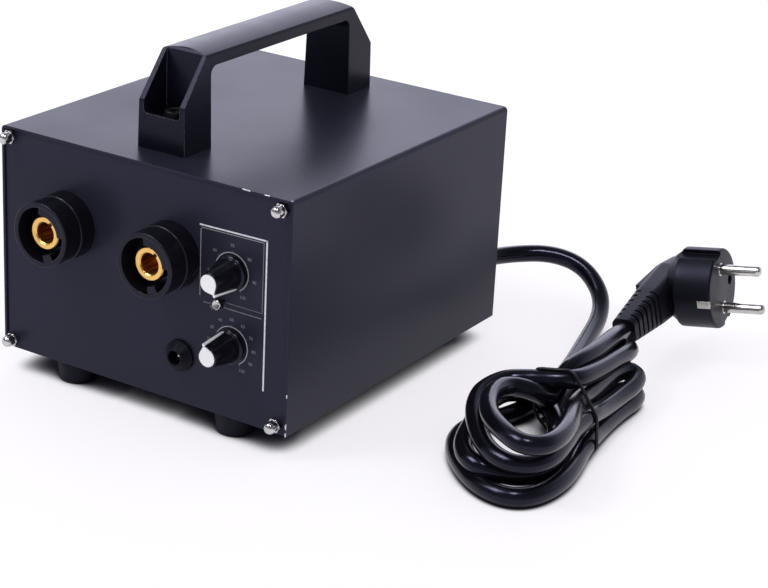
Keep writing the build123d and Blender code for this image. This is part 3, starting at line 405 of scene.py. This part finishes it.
nickel = plated("nickel_plate", (0.62, 0.6, 0.58, 1.0), 0.14, 0.22)
dress(nickel, "plug_pins", "plug_earth_clips", "pedal_jack_pin", "fuse_clips")

# Case. The cover, base, front and rear are bent sheet steel with a satin charcoal powder coat; the coat has a
# faint orange peel and is knocked off in a few thin chips along the front edges of the cover.
# Each chip in the paint: its middle and its half sizes.
CHIPS = [
    ((52.2, -78.0, 111.0), (1.9, 0.4, 0.4)),
    ((62.6, -78.0, 111.0), (1.3, 0.4, 0.3)),
    ((74.0, -76.9, 111.0), (0.8, 0.5, 0.3)),
    ((75.0, -78.0, 28.1), (0.4, 0.4, 0.9)),
    ((75.0, -78.0, 14.6), (0.45, 0.4, 1.5)),
    ((75.0, -78.0, 11.0), (0.5, 0.4, 1.0)),
]
CHIP_RAGGED = 1.2
CHIP_METAL = (0.6, 0.6, 0.62, 1.0)
paint = Finish("case_paint", {"Specular IOR Level": 0.16, "Specular Tint": COOL})
paint_cloud = paint.noise(14.0, 4.0)
paint_peel = paint.noise(850.0, 1.0)
chip_edge = paint.noise(1600.0, 2.0)
chip_gap = None
for middle, half in CHIPS:
    offset = {0: paint.place(), 1: [distance * MM for distance in middle]}
    offset = paint.node("VectorMath", {"operation": "SUBTRACT"}, offset, "Vector")
    offset = {0: offset, 1: [1.0 / (distance * MM) for distance in half]}
    offset = paint.node("VectorMath", {"operation": "MULTIPLY"}, offset, "Vector")
    gap = paint.node("VectorMath", {"operation": "LENGTH"}, {0: offset}, "Value")
    chip_gap = gap if chip_gap is None else chip_gap.least(gap)
chipped = (chip_gap + (chip_edge - 0.5) * CHIP_RAGGED) < 1.0
coat = paint.tint(paint_cloud, shade(0.0185, 1.7), shade(0.0215, 1.7))
paint.set(
    {
        "Base Color": paint.tint(chipped, coat, CHIP_METAL),
        "Roughness": paint.spread(paint_cloud, 0.3, 0.7, 0.28, 0.35) - chipped * 0.1,
        "Metallic": chipped,
    }
)
paint.relief(paint_peel, 0.000015, 0.0003)
dress(paint, "case_cover", "front_panel", "rear_panel")

under_coat = Finish("base_coat", {"Roughness": 0.55, "Specular IOR Level": 0.3})
under_cloud = under_coat.noise(30.0, 4.0)
under_coat.set({"Base Color": under_coat.tint(under_cloud, shade(0.005), shade(0.01))})
under_coat.relief(under_coat.noise(900.0), 0.00003, 0.0003)
dress(under_coat, "base_plate")

# Cap nuts, studs and screws. Domed nickel plated nuts close the corners of both panels on pressed-in studs;
# the screws and nuts that aren't seen are zinc plated, and the handle's screws are blackened.
bright = plated("nut_plate", (0.62, 0.6, 0.6, 1.0), 0.06, 0.14)
dress(bright, "cap_nuts")
zinc = plated("zinc_plate", (0.58, 0.6, 0.62, 1.0), 0.3, 0.45)
dress(zinc, "corner_studs", "foot_screws", "small_nuts", "handle_nuts", "transformer_strap", "base_screws")
dress(zinc, "switch_tabs", "lamp_leads", "pedal_jack_nut")
blackened = plated("screw_black", (0.06, 0.06, 0.065, 1.0), 0.35, 0.5)
dress(blackened, "handle_screws")

# Feet. Four feet of moulded black rubber, slightly tapered, stand under the base and carry the whole weight;
# each is held by a screw that goes up through its hollow into the base.
rubber = Finish("foot_rubber", {"Specular IOR Level": 0.2, "Specular Tint": COOL})
rubber_cloud = rubber.noise(120.0, 4.0)
rubber.set(
    {
        "Base Color": rubber.tint(rubber_cloud, shade(0.004), shade(0.009)),
        "Roughness": rubber.spread(rubber_cloud, 0.3, 0.7, 0.55, 0.7),
    }
)
rubber.relief(rubber.noise(1500.0), 0.00004, 0.0004)
dress(rubber, "rubber_feet")

# Handle. A moulded nylon bridge handle, smooth on top and open at both ends where its screws go in, is
# screwed through the cover; round its front pocket the edges are painted lighter, partly as wear from hands
# and partly as a painted highlight.
HANDLE_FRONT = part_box("carry_handle")[0][1]
WEAR_AND_HIGHLIGHT_TO = (14.0, 26.0)
nylon = Finish("handle_nylon", {"Specular IOR Level": 0.19, "Specular Tint": COOL})
nylon_y = nylon.axes()[1]
nylon_cloud = nylon.noise(26.0, 4.0)
nylon_grain = nylon.noise(2400.0, 2.0)
nylon_tone = nylon.tint(nylon_cloud, shade(0.0035, 2.2), shade(0.005, 2.2))
highlight_near, highlight_far = [HANDLE_FRONT + distance * MM for distance in WEAR_AND_HIGHLIGHT_TO]
front_end = nylon.spread(nylon_y, highlight_near, highlight_far, 1.0, 0.15)
wear_and_highlight_patches = nylon.spread(nylon.noise(420.0, 3.0), 0.35, 0.6, 0.3, 1.0)
# Edges near the front end are painted lighter: wear, and a painted highlight where they would catch light.
wear_and_highlight_edges = nylon.edges(0.0005) * front_end * wear_and_highlight_patches
nylon.set(
    {
        "Base Color": nylon.tint(wear_and_highlight_edges, nylon_tone, shade(0.13, 1.15)),
        "Roughness": nylon.spread(nylon_cloud, 0.3, 0.7, 0.25, 0.32),
    }
)
nylon.relief(nylon_grain, 0.000015, 0.0006)
dress(nylon, "carry_handle")

# Output sockets. Two moulded black shrouds stand round turned brass contacts; the brass has the fine rings
# of the lathe on its face, and is dull down its bore, where a painted shade makes it darker. The shrouds'
# edges are painted lighter, a painted highlight.
SOCKET_X = (-39.4, 15.4)
SOCKET_Z = 74.6
BRASS_FACE = -92.2
BORE = 4.5
BORE_MARGIN = 0.1
BORE_FADE = 3.0
BORE_GRAIN = (1.0, 0.08, 1.0)
LATHE_WAVES = 24000.0
socket_black = Finish("socket_plastic", {"Specular IOR Level": 0.25, "Specular Tint": COOL})
socket_cloud = socket_black.noise(70.0, 3.0)
socket_tone = socket_black.tint(socket_cloud, shade(0.004), shade(0.007))
# Painted highlight: the shrouds' sharp edges are tinted lighter.
socket_painted_highlight = socket_black.edges(0.0006)
socket_black.set(
    {
        "Base Color": socket_black.tint(socket_painted_highlight, socket_tone, shade(0.035, 1.2)),
        "Roughness": socket_black.spread(socket_cloud, 0.3, 0.7, 0.18, 0.26),
    }
)
socket_black.relief(socket_black.noise(1800.0), 0.00001, 0.0005)
dress(socket_black, "output_shroud_left", "output_shroud_right", "output_insulators")
brass = Finish("contact_brass", {"Metallic": 1.0})
brass_x, brass_y, brass_z = brass.axes()
between = sum(SOCKET_X) / 2 * MM
apart = (SOCKET_X[1] - SOCKET_X[0]) / 2 * MM
from_axis_x = abs(brass_x - between) - apart
from_axis_z = brass_z - SOCKET_Z * MM
from_axis = (from_axis_x**2 + from_axis_z**2) ** 0.5
# Painted shade: the bore's colour darkens over BORE_FADE behind the face.
behind_face = brass.spread(brass_y, BRASS_FACE * MM, (BRASS_FACE + BORE_FADE) * MM)
down_bore = (from_axis < (BORE + BORE_MARGIN) * MM) * behind_face
lathe = (from_axis * LATHE_WAVES).sine()
drawn_out = {0: brass.place(), 1: BORE_GRAIN}
along_bore = brass.node("VectorMath", {"operation": "MULTIPLY"}, drawn_out, "Vector")
streaks = brass.spread(brass.noise(900.0, 2.0, along_bore), 0.42, 0.6)
bore_shade_tone = brass.tint(streaks, (0.3, 0.13, 0.03, 1.0), (0.72, 0.42, 0.13, 1.0))
brass_cloud = brass.noise(300.0, 3.0)
polish = brass.tint(brass_cloud, (0.8, 0.47, 0.13, 1.0), (0.88, 0.57, 0.2, 1.0))
brass.set(
    {
        "Base Color": brass.tint(down_bore, polish, bore_shade_tone),
        "Roughness": brass.spread(brass_cloud, 0.3, 0.7, 0.2, 0.3) + down_bore * 0.1,
    }
)
brass.relief(lathe, 0.000008, 0.0003)
dress(brass, "output_contact_left", "output_contact_right", "output_nuts")

# Knobs. Glossy black moulded knobs sit on the shafts of the two potentiometers; a white drop shaped inlay
# with a pointer rib down the side is let into each.
gloss = Finish("knob_gloss", {"Specular IOR Level": 0.4, "Specular Tint": COOL})
gloss_cloud = gloss.noise(160.0, 3.0)
gloss.set(
    {
        "Base Color": gloss.tint(gloss_cloud, shade(0.002), shade(0.004)),
        "Roughness": gloss.spread(gloss_cloud, 0.3, 0.7, 0.16, 0.24),
    }
)
gloss.relief(gloss.noise(600.0), 0.000008, 0.0008)
dress(gloss, "knob_upper", "knob_lower")
inlay = Finish("knob_inlay", {"Roughness": 0.4})
inlay_cloud = inlay.noise(500.0, 3.0)
inlay.set({"Base Color": inlay.tint(inlay_cloud, (0.9, 0.9, 0.91, 1.0), (0.97, 0.97, 0.98, 1.0))})
inlay.relief(inlay_cloud, 0.00001, 0.0002)
dress(inlay, "knob_cap_upper", "knob_cap_lower")
dress(zinc, "pot_body_upper", "pot_body_lower", "pot_shaft_upper", "pot_shaft_lower", "pot_nuts")

# Printing on the front panel. Screen printed lines box the two dials in, thick at the top and right and
# thin elsewhere; each dial has an arc and plain numbers round its knob. Thin strokes hold less ink.
FRONT_FACE = -77.2
INK_LIFT = 0.03
DIALS = {"upper": (45.7, 74.4), "lower": (46.2, 42.4)}
DIAL_LABELS = {"upper": range(40, 101, 10), "lower": range(0, 101, 10)}
SWEEP = (240.0, -60.0)
ARC_R = 8.2
LABEL_R = 11.3
LABEL_SIZE = 2.0
LABEL_INK = 0.3
ARC_WIDTH = 0.4
ARC_INK = 0.6
TICK_LENGTH = 0.9
TICK_WIDTH = 0.25
TICK_INK = 0.2
# Each line: its two ends in panel x and z, its width, and how full its ink is.
LINES = [
    ((29.3, 91.0), (62.7, 91.6), 0.7, 0.9),
    ((62.55, 91.9), (62.7, 26.8), 0.75, 1.0),
    ((30.2, 89.9), (61.2, 90.5), 0.3, 0.4),
    ((61.1, 90.5), (61.1, 60.3), 0.3, 0.25),
    ((30.0, 89.4), (30.0, 60.4), 0.35, 0.45),
    ((42.0, 60.4), (61.1, 60.4), 0.25, 0.2),
    ((31.8, 58.0), (60.9, 58.0), 0.3, 0.3),
]


def line_quad(start, end, width):
    """Four corners of a straight printed line of a width."""
    start, end = np.array(start), np.array(end)
    along = (end - start) / np.linalg.norm(end - start)
    side = np.array((-along[1], along[0])) * width / 2
    return np.array([start - side, end - side, end + side, start + side]), [[0, 1, 2, 3]]


def arc_strip(centre, radius, width, low, high):
    """A printed arc between two angles in degrees: pairs of points at two radii, joined in quads."""
    angle = np.radians(np.linspace(low, high, 61))
    way = np.stack([np.cos(angle), np.sin(angle)], axis=1)
    points = np.stack([way * (radius - width / 2), way * (radius + width / 2)], axis=1).reshape(-1, 2)
    return np.array(centre) + points, (2 * np.arange(60)[:, None] + np.array([0, 1, 3, 2])).tolist()


def figure_shape(words, middle):
    """Flat figures: the points and faces of a text's mesh, moved to a middle."""
    text = bpy.data.curves.new("figures", "FONT")
    text.body = words
    text.size = LABEL_SIZE
    text.align_x = "CENTER"
    text.align_y = "CENTER"
    text.resolution_u = 2
    holder = bpy.data.objects.new("figures", text)
    scene.collection.objects.link(holder)
    flat = bpy.data.meshes.new_from_object(holder.evaluated_get(bpy.context.evaluated_depsgraph_get()))
    points = np.empty(len(flat.vertices) * 3)
    flat.vertices.foreach_get("co", points)
    faces = [list(face.vertices) for face in flat.polygons]
    bpy.data.objects.remove(holder)
    bpy.data.meshes.remove(flat)
    return points.reshape(-1, 3)[:, :2] + middle, faces


marks = [(line_quad(start, end, width), fill) for start, end, width, fill in LINES]
for dial, place in DIALS.items():
    centre = np.array(place)
    marks.append((arc_strip(centre, ARC_R, ARC_WIDTH, SWEEP[1], SWEEP[0]), ARC_INK))
    labels = list(DIAL_LABELS[dial])
    for label, angle in zip(labels, np.radians(np.linspace(*SWEEP, len(labels)))):
        way = np.array((np.cos(angle), np.sin(angle)))
        marks.append((figure_shape(str(label), centre + way * LABEL_R), LABEL_INK))
        tick = line_quad(centre + way * ARC_R, centre + way * (ARC_R + TICK_LENGTH), TICK_WIDTH)
        marks.append((tick, TICK_INK))
flat_points, print_faces = gather([shape for shape, fill in marks])
print_depth = np.full(len(flat_points), FRONT_FACE - INK_LIFT)
print_points = np.column_stack([flat_points[:, 0], print_depth, flat_points[:, 1]]) * MM
ink = Finish("print_ink", {"Roughness": 0.5, "Specular IOR Level": 0.3})
ink_fill = ink.node("Attribute", {"attribute_name": "ink_fill"}, {}, "Fac")
ink_wear = ink.spread(ink.noise(700.0, 3.0), 0.35, 0.55, 0.8, 1.0)
ink.set({"Base Color": ink.tint(ink_fill * ink_wear, shade(0.01), (0.82, 0.82, 0.86, 1.0))})
panel_print = make_piece("panel_print", print_points, print_faces, ink, "welder")
fill_of_points = np.concatenate([np.full(len(shape[0]), fill) for shape, fill in marks])
panel_print.data.attributes.new("ink_fill", "FLOAT", "POINT").data.foreach_set("value", fill_of_points)

# Lamp. A clear 5 mm light emitting diode is pushed through the panel from behind; inside the lens a small
# bright cup stands on a post.
LAMP = (40.6, 59.75)
clear = Finish("lamp_lens", {"Roughness": 0.04, "Transmission Weight": 1.0, "IOR": 1.5})
clear_cloud = clear.noise(400.0)
clear.set({"Base Color": clear.tint(clear_cloud, (0.93, 0.95, 0.97, 1.0), (1.0, 1.0, 1.0, 1.0))})
dress(clear, "indicator_lamp", "fuse_tube")


def turned(profile, x, z, sides):
    """A surface of revolution about a line along Y: each (radius, y) of the profile is carried round it."""
    round_angle = np.linspace(0.0, 2.0 * np.pi, sides, endpoint=False)
    radius, depth = np.array(profile).T
    points = np.stack(
        [
            x + radius[:, None] * np.cos(round_angle),
            np.broadcast_to(depth[:, None], (len(radius), sides)),
            z + radius[:, None] * np.sin(round_angle),
        ],
        axis=-1,
    )
    return points.reshape(-1, 3) * MM


CUP = [
    (0.01, -76.3), (0.5, -76.3), (0.5, -78.5), (1.25, -79.5),
    (1.25, -80.2), (1.05, -80.2), (0.4, -79.5), (0.01, -79.5),
]
CUP_SIDES = 20
cup_points = turned(CUP, *LAMP, CUP_SIDES)
make_piece("lamp_cup", cup_points, ring_faces(len(CUP), CUP_SIDES, False), bright, "welder")

# Pedal jack. A black moulded socket for the foot pedal's plug, with a bright centre pin, goes through the
# panel from the front and is held by a nut behind it.
jack_black = Finish("jack_plastic", {"Specular IOR Level": 0.15, "Specular Tint": COOL})
jack_cloud = jack_black.noise(200.0, 3.0)
jack_black.set(
    {
        "Base Color": jack_black.tint(jack_cloud, shade(0.003), shade(0.005)),
        "Roughness": jack_black.spread(jack_cloud, 0.3, 0.7, 0.42, 0.55),
    }
)
jack_black.relief(jack_black.noise(2000.0), 0.000015, 0.0003)
dress(jack_black, "pedal_jack_body")

# Rocker switch. The mains switch snaps into the rear panel; its black rocker carries a white stroke for on
# and a ring for off, printed on its two sloping halves.
dress(jack_black, "switch_frame", "switch_rocker")
SWITCH = (-40.0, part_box("rear_panel")[1][1] / MM, 40.0)
ROCKER_MIDDLE = 2.2
ROCKER_SLOPE = 0.16
ROCKER_TILT = np.radians(12.0)
PIVOT_DEPTH = 0.5


def on_rocker(flat):
    """Points over the rocker's face: across and up it, raised on its slope, tipped about its pivot."""
    across, up = flat.T
    rise = ROCKER_MIDDLE + ROCKER_SLOPE * np.abs(up) + INK_LIFT
    high = up * np.cos(ROCKER_TILT) + rise * np.sin(ROCKER_TILT)
    out = rise * np.cos(ROCKER_TILT) - up * np.sin(ROCKER_TILT) - PIVOT_DEPTH
    return np.stack([SWITCH[0] - across, SWITCH[1] + out, SWITCH[2] + high], axis=1) * MM


stroke = line_quad((0.0, -5.6), (0.0, -2.6), 0.7)
ring = arc_strip((0.0, 4.1), 1.4, 0.6, 0.0, 360.0)
mark_points, mark_faces = gather([stroke, ring])
mark_ink = Finish("switch_ink", {"Roughness": 0.5})
mark_wear = mark_ink.noise(900.0, 3.0)
mark_ink.set({"Base Color": mark_ink.tint(mark_wear, (0.7, 0.7, 0.7, 1.0), (0.88, 0.88, 0.88, 1.0))})
make_piece("rocker_marks", on_rocker(mark_points), mark_faces, mark_ink, "rocker")

# Board. The control board is green glass laminate; a chip, two sleeved capacitors, a fuse and a small
# laminated transformer stand on it.
laminate = Finish("board_laminate", {"Roughness": 0.35})
laminate_cloud = laminate.noise(500.0, 4.0)
laminate_tone = laminate.tint(laminate_cloud, (0.01, 0.08, 0.035, 1.0), (0.02, 0.16, 0.07, 1.0))
laminate.set({"Base Color": laminate_tone})
laminate.relief(laminate_cloud, 0.00003)
dress(laminate, "control_board")
chip = Finish("chip_black", {"Roughness": 0.5})
chip_grain = chip.noise(1500.0)
chip.set({"Base Color": chip.tint(chip_grain, shade(0.01), shade(0.02))})
chip.relief(chip_grain, 0.00002, 0.0002)
dress(chip, "control_chip", "power_triac")
sleeve = Finish("capacitor_sleeve", {"Roughness": 0.3})
sleeve_cloud = sleeve.noise(300.0)
sleeve.set({"Base Color": sleeve.tint(sleeve_cloud, (0.02, 0.03, 0.08, 1.0), (0.03, 0.045, 0.12, 1.0))})
sleeve.relief(sleeve_cloud, 0.00002, 0.0003)
dress(sleeve, "board_capacitors")

# Transformer. A stack of thin steel sheets carries two coils of enamelled copper wire round its middle leg;
# thick red leads with copper lugs go to the sockets, and the triac is clamped to an aluminium heat sink.
SHEET_WAVES = 6300.0
COIL_WAVES = 5000.0
stack = Finish("core_sheets", {"Metallic": 0.6, "Roughness": 0.5})
sheets = (stack.axes()[1] * SHEET_WAVES).sine()
sheet_edges = stack.spread(sheets, -0.6, 0.6)
stack.set({"Base Color": stack.tint(sheet_edges, (0.1, 0.1, 0.11, 1.0), (0.3, 0.3, 0.31, 1.0))})
stack.relief(sheets, 0.00005)
dress(stack, "transformer_core", "supply_transformer")
winding = Finish("coil_copper", {"Metallic": 0.7, "Roughness": 0.35})
wires = (winding.axes()[2] * COIL_WAVES).sine()
# Painted shade: the copper is darker in the grooves between turns and lighter on the wire tops.
wire_tops = winding.spread(wires, -0.8, 0.8)
winding.set({"Base Color": winding.tint(wire_tops, (0.2, 0.06, 0.02, 1.0), (0.6, 0.26, 0.11, 1.0))})
winding.relief(wires, 0.0001)
dress(winding, "primary_coil", "secondary_coil")
copper = plated("lug_copper", (0.8, 0.62, 0.52, 1.0), 0.25, 0.4)
dress(copper, "output_lugs")
red_sheath = Finish("lead_sheath", {"Roughness": 0.45})
red_cloud = red_sheath.noise(80.0, 3.0)
red_tone = red_sheath.tint(red_cloud, (0.28, 0.02, 0.02, 1.0), (0.42, 0.035, 0.03, 1.0))
red_sheath.set({"Base Color": red_tone})
red_sheath.relief(red_sheath.noise(1200.0), 0.00003)
dress(red_sheath, "output_leads")
aluminium = plated("sink_aluminium", (0.72, 0.73, 0.74, 1.0), 0.3, 0.42)
dress(aluminium, "heat_sink")


# Studio. A white floor keeps a soft shadow, and an even room lights the welder. Close under things the floor
# is painted dark and its glow is taken away, a painted contact shadow reckoned from occlusion. A small
# softbox at the upper left gives the shadows their side, and a wide one behind the top its cool sheen.
# Gloss also sees a card round the first, a small lamp for glints, and a white sweep with a dimmer room.
class Surround(Finish):
    """The world's nodes, made in the same way as a finish's; its background stands for the shader."""

    def __init__(self, world):
        world.use_nodes = True
        self.tree = world.node_tree
        self.shader = self.tree.nodes["Background"]

    def close(self, shader):
        """Make a shader the world's surface."""
        self.put(self.tree.nodes["World Output"].inputs["Surface"], shader)


def seen_rays(finish):
    """Two values: 1 for rays from the camera, and 1 for rays that a gloss or a glass sends on."""
    kinds = ("Is Camera Ray", "Is Glossy Ray", "Is Transmission Ray")
    camera_ray, glossy_ray, through_ray = [finish.node("LightPath", {}, {}, kind) for kind in kinds]
    return camera_ray, glossy_ray.most(through_ray)


def softbox(name, stand, aim, width, height, power, colour):
    """A rectangular lamp at a stand, turned to face a point."""
    light = bpy.data.lights.new(name, "AREA")
    light.shape = "RECTANGLE"
    light.size = width
    light.size_y = height
    light.energy = power
    light.color = colour
    lamp = bpy.data.objects.new(name, light)
    stand, aim = Vector(stand), Vector(aim)
    facing = (aim - stand).to_track_quat("-Z", "Y").to_matrix().to_4x4()
    lamp.matrix_world = Matrix.Translation(stand) @ facing
    scene.collection.objects.link(lamp)
    return lamp


FLOOR_HALF = 8.0
FLOOR_COLOUR = (0.93, 0.915, 0.97, 1.0)
FLOOR_LIFT = 0.6
LIFT_COLOUR = (0.99, 0.97, 1.0, 1.0)
LIFT_STRENGTH = 1.18
CONTACT_REACH = 0.02
CONTACT_OPEN = (0.24, 0.68)
ROOM = 0.76
ROOM_COLOUR = (0.97, 0.98, 1.0, 1.0)
MIRRORED_COLOUR = (0.86, 0.86, 1.0, 1.0)
DIM_ROOM = 0.35
LAMP_WHITE = (1.0, 1.0, 1.0)
LAMP_COOL = (0.8, 0.81, 1.0)
AIM = (0.05, -0.03, 0.05)
floor_mesh = bpy.data.meshes.new("floor")
floor_corners = [(x * FLOOR_HALF, y * FLOOR_HALF, 0.0) for x, y in ((-1, -1), (1, -1), (1, 1), (-1, 1))]
floor_mesh.from_pydata(floor_corners, [], [(0, 1, 2, 3)])
pale = Finish("floor_pale", {"Roughness": 0.9, "Specular IOR Level": 0.0})
# Painted contact shadow: occlusion darkens the floor's colour and takes away its glow close under things.
pale_open = pale.node("AmbientOcclusion", {"samples": 48}, {"Distance": CONTACT_REACH}, "AO")
pale_clear = pale.spread(pale_open, *CONTACT_OPEN)
pale.set({"Base Color": pale.tint(pale_clear, shade(0.06), FLOOR_COLOUR)})
pale_camera, pale_gloss = seen_rays(pale)
pale_lit = Term(pale, pale.shader.outputs[0])
pale_lift = pale.node("Emission", {}, {"Color": LIFT_COLOUR, "Strength": LIFT_STRENGTH})
pale_lifted = pale.node("MixShader", {}, {0: pale_clear * FLOOR_LIFT, 1: pale_lit, 2: pale_lift})
pale_mix = pale.node("MixShader", {}, {0: pale_camera.most(pale_gloss), 1: pale_lit, 2: pale_lifted})
pale.put(pale.tree.nodes["Material Output"].inputs["Surface"], pale_mix)
floor_mesh.materials.append(pale.material)
floor = bpy.data.objects.new("floor", floor_mesh)
scene.collection.objects.link(floor)
scene.world = bpy.data.worlds.new("room")
room = Surround(scene.world)
room_camera, room_gloss = seen_rays(room)
room.set({"Color": ROOM_COLOUR, "Strength": ROOM})
backdrop = room.node("Background", {}, {"Color": (1.0, 1.0, 1.0, 1.0), "Strength": 1.0})
towards = room.node("TexCoord", {}, {}, "Generated")
across, away, above = [room.node("SeparateXYZ", {}, {0: towards}, axis) for axis in "XYZ"]
far_side = room.spread(away - 0.4 * across, -0.2, 0.7, DIM_ROOM, 1.0)
low_side = room.spread(above, 0.3, 0.8, 1.0, DIM_ROOM)
mirrored = room.node("Background", {}, {"Color": MIRRORED_COLOUR, "Strength": far_side * low_side})
plain_room = Term(room, room.shader.outputs[0])
lit_room = room.node("MixShader", {}, {0: room_gloss, 1: plain_room, 2: mirrored})
room.close(room.node("MixShader", {}, {0: room_camera, 1: lit_room, 2: backdrop}))
softbox("overhead", (-0.5, -0.62, 1.2), AIM, 0.32, 0.32, 3.6, LAMP_WHITE)
softbox("behind", (-0.9, 1.5, 0.75), (0.0, 0.0, 0.1), 2.2, 1.2, 10.9, LAMP_COOL)
card = softbox("card", (-0.52, -0.66, 1.24), AIM, 0.75, 0.75, 13.0, LAMP_WHITE)
card.visible_diffuse = False
glint = softbox("glint", (0.36, -0.44, 1.25), (0.03, -0.05, 0.05), 0.26, 0.26, 7.0, LAMP_WHITE)
glint.visible_diffuse = False
scene.view_settings.view_transform = "Standard"
